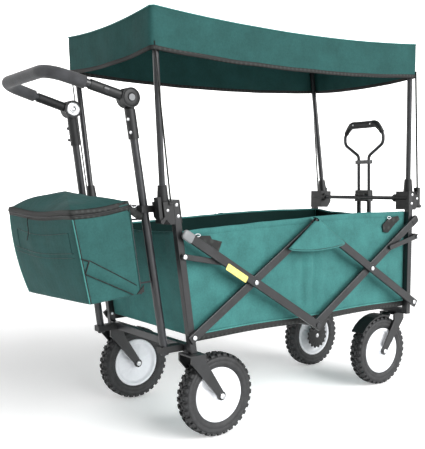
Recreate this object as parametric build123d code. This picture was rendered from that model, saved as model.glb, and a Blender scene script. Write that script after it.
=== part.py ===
from build123d import *
import math
import os

# Folding pull wagon with a canopy, a push handle, a storage bag and four swivel wheels.
# Millimetres.  X runs along the wagon: the push end is at -X and the pull end at +X.
# Y runs across it, "near" is the -Y side.  The wagon stands on Z = 0.
# Everything is laid out about the wagon's middle and moved at the very end, so that the
# origin is below the middle of the whole object.

# ---------------------------------------------------------------- driving dimensions
HALF_SPAN = 447.0          # wagon's middle to a post's foot pivot
FOOT_PIVOT_Z = 286.0       # height of the scissors' foot pivots
CENTRE_DROP = 22.0         # the centre joint hangs this far below the foot pivots
BAR_ANGLE = 32.5           # slope of every scissor bar, degrees, wagon open
POST_Y = 228.0             # post centre to the wagon's centre plane
POST_SIZE = 20.0           # square post tube
TUBE_WALL = 1.5
POST_BELOW = 44.0          # post length below its foot pivot
POST_ABOVE = 366.0         # post length above its foot pivot
LEAN = {-1: 7.0, 1: 2.0}   # outward lean of the push-end and pull-end posts, degrees
RUN_GAP = 0.05             # radial running clearance of pins, axles and stems
SIDE_GAP = 1.0             # air between neighbouring layers of bars
SEAT_GAP = 0.3             # soft or seated pieces stand this far from their neighbours

BAR_DEPTH = 25.0           # scissor bar, seen from the side
BAR_THICK = 10.0           # scissor bar, across the wagon
BAR_END = 14.0             # bar beyond its last pivot
BAR_TOP_END = 32.0         # free upper end of a falling bar beyond its guide point
PIN_R = 4.0
PIN_HEAD_R = 6.5
PIN_HEAD = 2.5
AXLE_TUBE_R = 8.0          # cross tube between the two centre joints
LINK_DEPTH = 16.0
LINK_UP = 222.0            # link pivot above the foot pivot, along the post
LINK_OUT = {-1: 0.0, 1: 12.0}        # link pivot outboard of the post's centre line
LUG_R = 9.0                # lug that carries a link pivot standing off its post
LINK_ON_BAR = 114.0        # link's far end on the falling bar, from the crossing pivot

UPPER_BAR_UP = 351.0       # upper crossbar above the foot pivot, along the post
UPPER_BAR_R = 6.5
LOWER_BAR_UP = -34.0
LOWER_BAR_SIZE = 20.0

WHEEL_R = 116.0
TYRE_W = 48.0
RIM_R = 76.0               # where the tyre seats on the wheel
HUB_R = 15.0
HUB_W = 52.0
TRAIL = 74.0               # swivel axis to wheel axle
STEM_R = 6.0
AXLE_R = 4.0
CROWN_TOP = 240.0
CROWN_THICK = 5.0
ARM_THICK = 6.0
ARM_GAP = 1.0              # hub face to fork arm
PUSH_CASTER_Y = POST_Y
PULL_CASTER_Y = 165.0

BRACKET_LOW_UP = 312.0     # corner bracket's lower face, along the post
BRACKET_TALL = 62.0
BRACKET_IN = 46.0          # bracket reach inboard of the post's centre
BRACKET_OUT = 40.0         # bracket reach beyond the post, away from the basket
BRACKET_BACK = 12.0        # bracket reach towards the basket
SOCKET_TALL = 42.0
LEVER_TALL = 64.0
LEVER_THICK = 12.0
LEVER_WIDE = 20.0
LEVER_PIN_R = 3.0

CANOPY_X = (-565.0, 478.0)
CANOPY_Y = 251.0
CANOPY_TOP = 1153.0
CANOPY_SKIRT = 111.0
CLOTH = 3.0                # modelled thickness of fabric walls
POLE_R = 8.5
POLE_FOOT_Y = 206.0
POLE_TIP_Y = 238.0
POLE_OUT = 22.0            # pole foot beyond the post's line
POLE_TIP_IN = {-1: 12.0, 1: 22.0}    # pole tip to the canopy's end panel

LINER_Y = 217.5
LINER_LOW_Z = 282.0
LINER_TOP_Z = 588.0
LINER_POST_GAP = 8.0       # liner's end panel to the post's centre line
BOARD_THICK = 5.0

PUSH_TUBE_Y = 186.0
PUSH_TUBE_R = 11.0
PUSH_FOOT = (-503.0, 238.0)
PUSH_HINGE = (-593.0, 924.0)
HINGE_Y = 174.0
HINGE_R = 26.0
HINGE_HALF = 18.0          # thickness of each half of a hinge drum
HINGE_PIN_R = 6.0
SLEEVE_R = 14.5
SLEEVE_LONG = 95.0
ARM_TUBE_R = 11.0
GRIP_R = 16.5
GRIP_REACH = 212.0         # hinge axis to the grip's cross part
GRIP_RISE = 60.0           # rise of the grip's cross part over the hinge axis
GRIP_BEND = 55.0
BUTTON_R = 9.0
BUTTON_PROUD = 4.0
BUTTON_TRAVEL = 3.0

BAG_Y = 200.0
BAG_TOP = ((-772.0, 632.0), (-612.0, 652.0))      # outer and inner upper edges, x and z
BAG_LOW = ((-727.0, 400.0), (-580.0, 412.0))      # outer and inner lower edges
LID_THICK = 14.0
LID_GAP = 1.0
WIRE_R = 3.0

PULL_X = 487.0             # pull handle tubes, folded up against the upper crossbar
PULL_PIVOT_Z = 262.0
PULL_TUBE_Y = 24.5         # half the distance between the twin tubes
PULL_OUTER_R = 8.0
PULL_INNER_R = 6.0
PULL_BLOCK_LOW = 622.0
PULL_BLOCK_TOP = 663.0
CLIP_GAP = 1.0             # clip jaw round the upper crossbar
PULL_COLLAR_Z = 768.0
PULL_LOOP_Y = 92.0
PULL_LOOP_Z = 850.0
PULL_GRIP_Z = 902.0
PULL_GRIP_R = 13.0
PULL_INNER_DEEP = 240.0    # inner tubes reach this far down inside the outer ones

NEAR_FAR = (-1, 1)
PUSH, PULL = -1, 1

# ---------------------------------------------------------------- derived layout
slope = math.radians(BAR_ANGLE)
BAR_SUM = HALF_SPAN / math.cos(slope)
BAR_DIFFERENCE = CENTRE_DROP / math.sin(slope)
SHORT_ARM = (BAR_SUM - BAR_DIFFERENCE) / 2        # foot pivot to crossing pivot
LONG_ARM = (BAR_SUM + BAR_DIFFERENCE) / 2         # crossing pivot to centre joint
POST_FACE = POST_Y + POST_SIZE / 2
INNER_LAYER = POST_FACE + SIDE_GAP + BAR_THICK / 2
OUTER_LAYER = INNER_LAYER + BAR_THICK + SIDE_GAP
BORE = PIN_R + RUN_GAP

made = {}


def along(end, up, out=0.0):
    """x and z of a point up a post from its foot pivot and outboard of its centre line."""
    lean = math.radians(LEAN[end])
    x = end * (HALF_SPAN + up * math.sin(lean) + out * math.cos(lean))
    return x, FOOT_PIVOT_Z + up * math.cos(lean) - out * math.sin(lean)


def beam(start, stop, deep, thick, wall=0.0):
    """Rectangular bar or tube between two points, its thickness across the wagon."""
    a, b = Vector(*start), Vector(*stop)
    plane = Plane(origin=a, x_dir=(0, 1, 0), z_dir=b - a)
    shape = extrude(plane * RectangleRounded(thick, deep, 2.0), (b - a).length)
    if wall:
        shape -= extrude(plane * Rectangle(thick - 2 * wall, deep - 2 * wall), (b - a).length)
    return shape


def rod(start, stop, radius, wall=0.0):
    """Round bar or tube between two points."""
    a, b = Vector(*start), Vector(*stop)
    plane = Plane(origin=a, z_dir=b - a)
    shape = extrude(plane * Circle(radius), (b - a).length)
    if wall:
        shape -= extrude(plane * Circle(radius - wall), (b - a).length)
    return shape


def cross_rod(x, z, y_from, y_to, radius):
    """Round bar across the wagon."""
    return rod((x, min(y_from, y_to), z), (x, max(y_from, y_to), z), radius)


def block(x, y, z):
    """Box from three pairs of limits."""
    size = [abs(b - a) for a, b in (x, y, z)]
    centre = [(a + b) / 2 for a, b in (x, y, z)]
    return Pos(*centre) * Box(*size)


def side_profile(points, y_from, y_to):
    """Outline drawn in the side view and extruded across the wagon."""
    face = make_face(Polyline([Vector(x, y_from, z) for x, z in points], close=True))
    return extrude(face, amount=abs(y_to - y_from), dir=(0, 1 if y_to > y_from else -1, 0))


def keep(name, *solids):
    """Store a node as its separate solids."""
    loose = []
    for solid in solids:
        loose.extend(solid.solids())
    made[name] = loose


def pin(x, z, y_in, y_out):
    """Pivot pin with a domed head on its outer end."""
    side = 1 if y_out > 0 else -1
    shank = cross_rod(x, z, y_in, y_out, PIN_R)
    return shank + cross_rod(x, z, y_out, y_out + side * PIN_HEAD, PIN_HEAD_R)


# ---------------------------------------------------------------- end frames
def link_pivot(end):
    return along(end, LINK_UP, LINK_OUT[end])


def make_end_frame(end, name):
    foot, top = along(end, -POST_BELOW), along(end, POST_ABOVE)
    low, high = along(end, LOWER_BAR_UP), along(end, UPPER_BAR_UP)
    pivot, link = along(end, 0), link_pivot(end)
    posts = []
    for side in NEAR_FAR:
        y = side * POST_Y
        post = beam((foot[0], y, foot[1]), (top[0], y, top[1]), POST_SIZE, POST_SIZE, TUBE_WALL)
        if end == PUSH:
            plug_top = along(end, -POST_BELOW + 26)
            inside = POST_SIZE - 2 * TUBE_WALL
            post += beam((foot[0], y, foot[1]), (plug_top[0], y, plug_top[1]), inside, inside)
            post -= rod((caster_x(end), y, 0), (caster_x(end), y, foot[1] + 20), STEM_R + RUN_GAP)
        if LINK_OUT[end]:
            post += cross_rod(*link, side * (POST_FACE - 4), side * (INNER_LAYER + BAR_THICK / 2), LUG_R)
        for x, z in (pivot, link):
            post -= cross_rod(x, z, side * (POST_Y - POST_SIZE), side * (POST_Y + 2 * POST_SIZE), PIN_R)
        posts.append(post)
    keep(name + "_posts", *posts)

    reach = POST_Y - POST_SIZE / 2
    half = LOWER_BAR_SIZE / 2
    lower = block((low[0] - half, low[0] + half), (-reach, reach), (low[1] - half, low[1] + half))
    if end == PULL:
        for side in NEAR_FAR:
            stem = rod((caster_x(end), side * PULL_CASTER_Y, 0),
                       (caster_x(end), side * PULL_CASTER_Y, low[1] + LOWER_BAR_SIZE), STEM_R + RUN_GAP)
            lower -= stem
        lower += pull_hinge_ears(low)
    upper = cross_rod(*high, -POST_Y + BRACKET_IN - 30, POST_Y - BRACKET_IN + 30, UPPER_BAR_R)
    keep(name + "_crossbars", lower, upper)

    outer_face = (INNER_LAYER if end == PUSH else OUTER_LAYER) + BAR_THICK / 2
    pins = []
    for side in NEAR_FAR:
        for x, z in (pivot, link):
            pins.append(pin(x, z, side * (POST_Y - POST_SIZE / 2), side * outer_face))
    keep(name + "_pivot_pins", *pins)


def caster_x(end):
    """Swivel axis: under the post's foot at the push end, under the crossbar at the pull end."""
    return along(end, -POST_BELOW if end == PUSH else LOWER_BAR_UP)[0]


def pull_hinge_ears(low):
    """Two ears on the pull end's lower crossbar that carry the pull handle's pivot."""
    ears = None
    for side in NEAR_FAR:
        y = side * (PULL_TUBE_Y + PULL_OUTER_R + 1)
        ear = block((low[0], PULL_X), sorted((y, y + side * 4)), (low[1] - 8, PULL_PIVOT_Z + 10))
        ear += cross_rod(PULL_X, PULL_PIVOT_Z, y, y + side * 4, 10)
        ear -= cross_rod(PULL_X, PULL_PIVOT_Z, y - side, y + side * 5, PIN_R + RUN_GAP)
        ears = ear if ears is None else ears + ear
    return ears


def pole_foot(end):
    return along(end, BRACKET_LOW_UP + BRACKET_TALL - 20, POLE_OUT)


def pole_tip(end):
    panel = CANOPY_X[0 if end == PUSH else 1]
    slack = 0.2 * POLE_R
    return panel - end * (CLOTH + POLE_TIP_IN[end]), CANOPY_TOP - CLOTH - SEAT_GAP - slack


def make_brackets_and_poles(end, name):
    low, high = BRACKET_LOW_UP, BRACKET_LOW_UP + BRACKET_TALL
    tip, foot = pole_tip(end), pole_foot(end)
    brackets, poles = [], []
    for side in NEAR_FAR:
        corners = [along(end, low, -BRACKET_BACK), along(end, low, BRACKET_OUT - 16),
                   along(end, low + 22, BRACKET_OUT), along(end, high, BRACKET_OUT),
                   along(end, high, -BRACKET_BACK)]
        body = side_profile(corners, side * (POST_Y - BRACKET_IN), side * POST_FACE)
        bar = along(end, UPPER_BAR_UP)
        body += cross_rod(*bar, side * (POST_Y - BRACKET_IN - 16), side * POST_Y, UPPER_BAR_R + 7)
        a = Vector(foot[0], side * POLE_FOOT_Y, foot[1])
        b = Vector(tip[0], side * POLE_TIP_Y, tip[1])
        way = (b - a).normalized()
        mouth = a + way * (20 + SOCKET_TALL)
        socket = Plane(origin=a, z_dir=way) * Pos(0, 0, (20 + SOCKET_TALL) / 2)
        body += socket * Cone(POLE_R + 9, POLE_R + 4, 20 + SOCKET_TALL)
        pole = rod(a, b, POLE_R, TUBE_WALL)
        body -= rod(a, mouth + way * 5, POLE_R)
        lower_end, upper_end = along(end, low - 5), along(end, POST_ABOVE)
        body -= beam((lower_end[0], side * POST_Y, lower_end[1]),
                     (upper_end[0], side * POST_Y, upper_end[1]), POST_SIZE, POST_SIZE)
        body -= cross_rod(*bar, side * (POST_Y - BRACKET_IN - 20), side * (POST_Y - BRACKET_IN + 30),
                          UPPER_BAR_R)
        body += lever_ears(end, side)
        brackets.append(body)
        poles.append(pole)
    keep(name + "_corner_brackets", *brackets)
    keep(name + "_canopy_poles", *poles)


def lever_pivot(end):
    return along(end, BRACKET_LOW_UP + 12, BRACKET_OUT + 8)


def lever_ears(end, side):
    """Two small ears on the bracket's end face, with the clamp lever's hinge pin between them."""
    x, z = lever_pivot(end)
    back = along(end, BRACKET_LOW_UP + 24, BRACKET_OUT - 6)
    y = side * (POST_Y - 4)
    ears = None
    for edge in NEAR_FAR:
        inner = y + edge * (LEVER_WIDE / 2 + 0.5)
        outer = inner + edge * 4
        ear = cross_rod(x, z, inner, outer, 6)
        ear += side_profile([(x, z - 6), (back[0], back[1] - 8), (back[0], back[1] + 6), (x, z + 6)],
                            inner, outer)
        ears = ear if ears is None else ears + ear
    return ears + cross_rod(x, z, y - LEVER_WIDE / 2 - 2, y + LEVER_WIDE / 2 + 2, LEVER_PIN_R)


def make_levers(end, name):
    for side, word in zip(NEAR_FAR, ("near", "far")):
        x, z = lever_pivot(end)
        top = along(end, BRACKET_LOW_UP + 12 + LEVER_TALL, BRACKET_OUT + 7)
        y = side * (POST_Y - 4)
        lever = beam((x, y, z), (top[0], y, top[1]), LEVER_THICK, LEVER_WIDE)
        lever += cross_rod(x, z, y - LEVER_WIDE / 2, y + LEVER_WIDE / 2, LEVER_THICK / 2)
        lever -= cross_rod(x, z, y - LEVER_WIDE, y + LEVER_WIDE, LEVER_PIN_R + RUN_GAP)
        keep(f"{name}_clamp_lever_{word}", lever)


# ---------------------------------------------------------------- folding side frames
def crossing(end):
    return (end * (HALF_SPAN - SHORT_ARM * math.cos(slope)),
            FOOT_PIVOT_Z + SHORT_ARM * math.sin(slope))


def centre_joint():
    return 0.0, FOOT_PIVOT_Z - CENTRE_DROP


def on_bar(end, distance, rising):
    """Point on a bar, measured from the crossing pivot towards the bar's upper end."""
    cx, cz = crossing(end)
    away = -end if rising else end
    return cx + away * distance * math.cos(slope), cz + distance * math.sin(slope)


def make_scissors(end, name):
    """At the push end the falling bar is the outer one, at the pull end the rising bar is."""
    rising_layer, falling_layer = (INNER_LAYER, OUTER_LAYER) if end == PUSH else (OUTER_LAYER, INNER_LAYER)
    foot, cross, centre = (end * HALF_SPAN, FOOT_PIVOT_Z), crossing(end), centre_joint()
    upper = on_bar(end, LONG_ARM, True)
    rising, falling, cross_pins = [], [], []
    for side in NEAR_FAR:
        y = side * rising_layer
        a, b = on_bar(end, -SHORT_ARM - BAR_END, True), on_bar(end, LONG_ARM + BAR_END, True)
        bar = beam((a[0], y, a[1]), (b[0], y, b[1]), BAR_DEPTH, BAR_THICK, TUBE_WALL)
        for x, z in (foot, cross, upper):
            held = end == PUSH and (x, z) != foot
            bar -= cross_rod(x, z, y - BAR_THICK, y + BAR_THICK, PIN_R if held else BORE)
        rising.append(bar)

        y = side * falling_layer
        a, b = on_bar(end, -LONG_ARM - BAR_END, False), on_bar(end, SHORT_ARM + BAR_TOP_END, False)
        bar = beam((a[0], y, a[1]), (b[0], y, b[1]), BAR_DEPTH, BAR_THICK, TUBE_WALL)
        bar -= cross_rod(*cross, y - BAR_THICK, y + BAR_THICK, BORE if end == PUSH else PIN_R)
        bar -= cross_rod(*centre, y - BAR_THICK, y + BAR_THICK,
                         AXLE_TUBE_R + (0 if end == PUSH else RUN_GAP))
        falling.append(bar)
        inside = INNER_LAYER - BAR_THICK / 2
        outside = OUTER_LAYER + BAR_THICK / 2
        cross_pins.append(pin(*cross, side * inside, side * outside))
        if end == PUSH:
            cross_pins.append(pin(*upper, side * inside, side * outside))
    keep(name + "_rising_bars", *rising)
    keep(name + "_falling_bars", *falling)
    keep(name + "_crossing_pins", *cross_pins)


def make_links(end, name):
    start, stop = link_pivot(end), on_bar(end, LINK_ON_BAR, False)
    links = []
    link_y = INNER_LAYER if end == PUSH else OUTER_LAYER
    for side in NEAR_FAR:
        y = side * link_y
        link = beam((start[0], y, start[1]), (stop[0], y, stop[1]), LINK_DEPTH, BAR_THICK - 4)
        for x, z in (start, stop):
            link += cross_rod(x, z, y - BAR_THICK / 2 + 2, y + BAR_THICK / 2 - 2, LINK_DEPTH / 2)
        link -= cross_rod(*start, y - BAR_THICK, y + BAR_THICK, BORE)
        links.append(link)
    keep(name + "_side_links", *links)


def make_centre_tube():
    x, z = centre_joint()
    reach = OUTER_LAYER + BAR_THICK / 2 + PIN_HEAD
    keep("centre_cross_tube", cross_rod(x, z, -reach, reach, AXLE_TUBE_R))


# ---------------------------------------------------------------- casters
def wheel_centre(end, side):
    y = side * (PUSH_CASTER_Y if end == PUSH else PULL_CASTER_Y)
    return caster_x(end) - end * TRAIL, y, WHEEL_R


def make_caster(end, side, word):
    x, y, z = wheel_centre(end, side)
    stem_x = caster_x(end)
    half = HUB_W / 2 + ARM_GAP
    crown_low = CROWN_TOP - CROWN_THICK
    fork = block((stem_x - 24, stem_x + 24), (y - half - ARM_THICK, y + half + ARM_THICK),
                 (crown_low, CROWN_TOP))
    for edge in NEAR_FAR:
        inner, outer = y + edge * half, y + edge * (half + ARM_THICK)
        wide = 20 if end == PULL and edge == -side else 13
        arm = side_profile([(stem_x - 24, CROWN_TOP), (stem_x + 24, CROWN_TOP),
                            (stem_x + 24, CROWN_TOP - 22), (x + wide, z), (x - wide, z),
                            (stem_x - 24, CROWN_TOP - 22)], inner, outer)
        arm += cross_rod(x, z, inner, outer, wide)
        fork += arm
        fork -= cross_rod(x, z, inner - edge, outer + edge, AXLE_R)
    fork += rod((stem_x, y, CROWN_TOP - 1), (stem_x, y, collar_top(end) - SEAT_GAP), STEM_R + 7)
    fork += rod((stem_x, y, CROWN_TOP - 1), (stem_x, y, collar_top(end) + 16), STEM_R)
    keep(f"{word}_caster_fork", fork)

    bolt = cross_rod(x, z, y - half - ARM_THICK, y + half + ARM_THICK, AXLE_R)
    for edge in NEAR_FAR:
        face = y + edge * (half + ARM_THICK)
        bolt += cross_rod(x, z, face, face + edge * 4, 7.5)
    keep(f"{word}_axle_bolt", bolt)
    make_wheel(x, y, z, word)


def collar_top(end):
    """Underside of what the swivel stem enters."""
    if end == PUSH:
        return along(end, -POST_BELOW)[1] - POST_SIZE / 2 * math.sin(math.radians(LEAN[end]))
    return along(end, LOWER_BAR_UP)[1] - LOWER_BAR_SIZE / 2


def ring(x, y, z, points):
    """Turned piece on a wheel's axle, from (radius, offset) points."""
    face = make_face(Polyline([Vector(x + r, y + w, z) for r, w in points], close=True))
    return revolve(face, Axis((x, y, z), (0, 1, 0)), 360)


def make_wheel(x, y, z, word):
    rim_half = 17.0
    dish = 6.0
    wheel = ring(x, y, z, [(AXLE_R + RUN_GAP, -HUB_W / 2), (HUB_R, -HUB_W / 2), (HUB_R + 3, -dish),
                           (RIM_R - 8, -dish), (RIM_R - 5, -rim_half), (RIM_R, -rim_half),
                           (RIM_R, rim_half), (RIM_R - 5, rim_half), (RIM_R - 8, dish),
                           (HUB_R + 3, dish), (HUB_R, HUB_W / 2), (AXLE_R + RUN_GAP, HUB_W / 2)])
    keep(f"{word}_wheel", wheel)
    half = TYRE_W / 2
    tyre = ring(x, y, z, [(RIM_R, -rim_half), (RIM_R + 4, -rim_half - 3), (RIM_R + 20, -half),
                          (WHEEL_R - 12, -half), (WHEEL_R - 4, -half + 5), (WHEEL_R, -half + 14),
                          (WHEEL_R, half - 14), (WHEEL_R - 4, half - 5), (WHEEL_R - 12, half),
                          (RIM_R + 20, half), (RIM_R + 4, rim_half + 3), (RIM_R, rim_half)])
    keep(f"{word}_tyre", tyre)


def brake_pivot(side):
    """Hinge of a brake pedal, at the back of a pull-end fork's crown."""
    return caster_x(PULL) - 24 - 7, side * PULL_CASTER_Y, CROWN_TOP - 6


def make_brake(side, word):
    x, y, z = brake_pivot(side)
    wx, _, wz = wheel_centre(PULL, side)
    half = TYRE_W / 2 + 2
    inner, outer = WHEEL_R + 3, WHEEL_R + 8
    spots = []
    arc = (72, 84, 96, 108, 120, 132, 144)
    for radius, order in ((inner, arc), (outer, arc[::-1])):
        for angle in order:
            turn = math.radians(angle)
            spots.append((wx + radius * math.cos(turn), wz + radius * math.sin(turn)))
    pedal = side_profile(spots, y - half, y + half)
    for edge in NEAR_FAR:
        pedal -= block((x - 9, x + 40), sorted((y + edge * 10, y + edge * 60)), (z - 40, z + 40))
    pedal += cross_rod(x, z, y - 10, y + 10, 5)
    pedal -= block((x + 5.2, x + 40), (y - 60, y + 60), (z - 40, z + 40))
    pedal -= cross_rod(x, z, y - 40, y + 40, 2.5 + RUN_GAP)
    keep(f"{word}_brake_pedal", pedal)
    lugs = None
    for edge in NEAR_FAR:
        a, b = y + edge * 10.5, y + edge * 14.5
        lug = side_profile([(x, z - 4), (x + 8, z - 4), (x + 8, CROWN_TOP), (x, z + 4)],
                           a, b) + cross_rod(x, z, a, b, 4)
        lugs = lug if lugs is None else lugs + lug
    lugs += cross_rod(x, z, y - 12, y + 12, 2.5)
    fork = made[f"{word}_caster_fork"][0] + lugs
    keep(f"{word}_caster_fork", fork)


# ---------------------------------------------------------------- canopy and liner
def make_canopy():
    outer = block(CANOPY_X, (-CANOPY_Y, CANOPY_Y), (CANOPY_TOP - CANOPY_SKIRT, CANOPY_TOP))
    room = block((CANOPY_X[0] + CLOTH, CANOPY_X[1] - CLOTH), (-CANOPY_Y + CLOTH, CANOPY_Y - CLOTH),
                 (CANOPY_TOP - CANOPY_SKIRT - 1, CANOPY_TOP - CLOTH))
    keep("canopy_cover", outer - room)


def liner_end(end, z, inset):
    """x of the liner's end panel at a height, standing clear of the leaning post."""
    lean = math.radians(LEAN[end])
    return end * (HALF_SPAN + (z - FOOT_PIVOT_Z) * math.tan(lean) - LINER_POST_GAP - inset)


def make_liner():
    def outline(inset, low, high):
        return [(liner_end(PUSH, low, inset), low), (liner_end(PULL, low, inset), low),
                (liner_end(PULL, high, inset), high), (liner_end(PUSH, high, inset), high)]
    shell = side_profile(outline(0, LINER_LOW_Z, LINER_TOP_Z), -LINER_Y, LINER_Y)
    room = side_profile(outline(CLOTH, LINER_LOW_Z + CLOTH, LINER_TOP_Z + 5),
                        -LINER_Y + CLOTH, LINER_Y - CLOTH)
    keep("basket_liner", shell - room)
    base = LINER_LOW_Z + CLOTH + SEAT_GAP
    edge = CLOTH + 4
    keep("floor_board", side_profile(outline(edge, base, base + BOARD_THICK), -LINER_Y + edge, LINER_Y - edge))


# ---------------------------------------------------------------- push handle and bag
def push_point(up):
    """Point on a push tube's centre line, from its foot."""
    dx, dz = PUSH_HINGE[0] - PUSH_FOOT[0], PUSH_HINGE[1] - PUSH_FOOT[1]
    long = math.hypot(dx, dz)
    return PUSH_FOOT[0] + dx * up / long, PUSH_FOOT[1] + dz * up / long


def push_length():
    return math.hypot(PUSH_HINGE[0] - PUSH_FOOT[0], PUSH_HINGE[1] - PUSH_FOOT[1])


def tube_y(up):
    """The push tubes draw together a little towards the hinges."""
    return PUSH_TUBE_Y + (HINGE_Y - PUSH_TUBE_Y) * up / push_length()


def tube_place(side, up):
    x, z = push_point(up)
    return x, side * tube_y(up), z


def make_push_tubes():
    reach = push_length() - HINGE_R - 6
    tubes, sleeves = [], []
    for side in NEAR_FAR:
        tubes.append(rod(tube_place(side, 0), tube_place(side, reach), PUSH_TUBE_R, TUBE_WALL))
        x, z = PUSH_HINGE
        drum = cross_rod(x, z, side * (HINGE_Y - HINGE_HALF), side * (HINGE_Y - 0.3), HINGE_R)
        sleeve = rod(tube_place(side, reach - SLEEVE_LONG + 20), tube_place(side, push_length() - 8), SLEEVE_R)
        sleeve -= block((x - 60, x + 60), sorted((side * (HINGE_Y + 0.3), side * (HINGE_Y + 60))),
                        (z - HINGE_R - 3, z + 60))
        sleeve += drum
        sleeve -= rod(tube_place(side, -20), tube_place(side, reach), PUSH_TUBE_R)
        sleeve -= cross_rod(x, z, side * (HINGE_Y + 0.3), side * (HINGE_Y + HINGE_HALF + 1), HINGE_R + 2)
        sleeve += cross_rod(x, z, side * (HINGE_Y - 2), side * (HINGE_Y + HINGE_HALF - 8), HINGE_PIN_R)
        sleeves.append(sleeve)
    keep("push_tubes", *tubes)
    keep("push_hinge_sleeves", *sleeves)
    make_tube_clamps()


def make_tube_clamps():
    """Plastic saddles that tie each push tube to the push end's two crossbars."""
    saddles = []
    for side in NEAR_FAR:
        for up_post, face in ((LOWER_BAR_UP, LOWER_BAR_SIZE / 2), (UPPER_BAR_UP, BRACKET_OUT - 4)):
            bar_x, bar_z = along(PUSH, up_post)
            up = (bar_z - PUSH_FOOT[1]) / (PUSH_HINGE[1] - PUSH_FOOT[1]) * push_length()
            tx, ty, _ = tube_place(side, up)
            saddle = block((tx - PUSH_TUBE_R - 4, bar_x - face), (ty - 14, ty + 14),
                           (bar_z - 9, bar_z + 9))
            saddle -= rod(tube_place(side, -20), tube_place(side, push_length()), PUSH_TUBE_R)
            for bracket in made["push_corner_brackets"]:
                saddle -= bracket
            saddles.append(saddle)
    keep("push_tube_saddles", *saddles)


def handle_direction():
    return math.atan2(GRIP_RISE, -GRIP_REACH)


def make_push_handle():
    hx, hz = PUSH_HINGE
    long = math.hypot(GRIP_REACH, GRIP_RISE)
    ux, uz = -GRIP_REACH / long, GRIP_RISE / long

    def place(distance, y):
        return Vector(hx + ux * distance, y, hz + uz * distance)
    start = 60.0
    corners = [place(start, -HINGE_Y), place(long, -HINGE_Y + 22), place(long, HINGE_Y - 22),
               place(start, HINGE_Y)]
    path = FilletPolyline(*corners, radius=GRIP_BEND)
    tube = sweep(Plane(origin=path @ 0, z_dir=path % 0) * Circle(ARM_TUBE_R), path)
    keep("push_handle_tube", tube)
    foam_corners = [place(start + 62, -HINGE_Y + 22 * 62 / (long - start)), corners[1], corners[2],
                    place(start + 62, HINGE_Y - 22 * 62 / (long - start))]
    foam_path = FilletPolyline(*foam_corners, radius=GRIP_BEND)
    foam = sweep(Plane(origin=foam_path @ 0, z_dir=foam_path % 0) * Circle(GRIP_R), foam_path)
    keep("push_foam_grip", foam - tube)
    sleeves = []
    for side in NEAR_FAR:
        a, b = place(8, side * HINGE_Y), place(start + 50, side * (HINGE_Y - 22 * 50 / (long - start)))
        sleeve = rod(a, b, SLEEVE_R - 1)
        sleeve -= cross_rod(hx, hz, side * (HINGE_Y - 40), side * (HINGE_Y + 0.3), HINGE_R + 2)
        sleeve += cross_rod(hx, hz, side * (HINGE_Y + 0.3), side * (HINGE_Y + HINGE_HALF), HINGE_R)
        sleeve -= tube
        sleeve -= cross_rod(hx, hz, side * (HINGE_Y - 20), side * (HINGE_Y + HINGE_HALF - 6), HINGE_PIN_R + RUN_GAP)
        sleeve -= cross_rod(hx, hz, side * (HINGE_Y + HINGE_HALF - 7), side * (HINGE_Y + 40), BUTTON_R + 0.2)
        sleeves.append(sleeve)
    keep("handle_hinge_sleeves", *sleeves)
    for side, word in zip(NEAR_FAR, ("near", "far")):
        outer = HINGE_Y + HINGE_HALF
        low = outer - 7 + BUTTON_TRAVEL
        keep(f"hinge_button_{word}", cross_rod(hx, hz, side * low, side * (outer + BUTTON_PROUD), BUTTON_R))


def bag_side(t):
    """Inner (wagon side) edge of the bag at a share of its height, x and z."""
    (tx, tz), (bx, bz) = BAG_TOP[1], BAG_LOW[1]
    return bx + (tx - bx) * t, bz + (tz - bz) * t


def make_bag():
    outline = [BAG_TOP[0], BAG_TOP[1], BAG_LOW[1], BAG_LOW[0]]
    shell = side_profile(outline, -BAG_Y, BAG_Y)
    inner = [(BAG_TOP[0][0] + CLOTH, BAG_TOP[0][1] + 6), (BAG_TOP[1][0] - CLOTH, BAG_TOP[1][1] + 6),
             (BAG_LOW[1][0] - CLOTH, BAG_LOW[1][1] + CLOTH), (BAG_LOW[0][0] + CLOTH, BAG_LOW[0][1] + CLOTH)]
    keep("storage_bag", shell - side_profile(inner, -BAG_Y + CLOTH, BAG_Y - CLOTH))
    (ox, oz), (ix, iz) = BAG_TOP
    lid = [(ox, oz + LID_GAP), (ix, iz + LID_GAP), (ix, iz + LID_GAP + 6),
           ((ox + ix) / 2, (oz + iz) / 2 + LID_GAP + LID_THICK + 8), (ox, oz + LID_GAP + 6)]
    keep("bag_lid", side_profile(lid, -BAG_Y, BAG_Y))

    wires = None
    stand = WIRE_R + SEAT_GAP
    top, low = bag_side(0.94), bag_side(0.0)
    for side in NEAR_FAR:
        y = side * (BAG_Y - 8)
        upright = rod((top[0] + stand, y, top[1]), (low[0] + stand, y, low[1]), WIRE_R)
        for share in (0.82, 0.12):
            bx, bz = bag_side(share)
            up = (bz - PUSH_FOOT[1]) / (PUSH_HINGE[1] - PUSH_FOOT[1]) * push_length()
            tx, ty, tz = tube_place(side, up)
            arm = rod((bx + stand, y, bz), (tx - PUSH_TUBE_R + 1, ty, bz), 0.8 * WIRE_R)
            arm -= rod(tube_place(side, 0), tube_place(side, push_length()), PUSH_TUBE_R)
            upright += arm
        wires = upright if wires is None else wires + upright
    for share in (0.88, 0.03):
        x, z = bag_side(share)
        wires += cross_rod(x + stand, z, -BAG_Y + 8, BAG_Y - 8, 0.9 * WIRE_R)
    keep("bag_wire_frame", wires)


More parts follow.
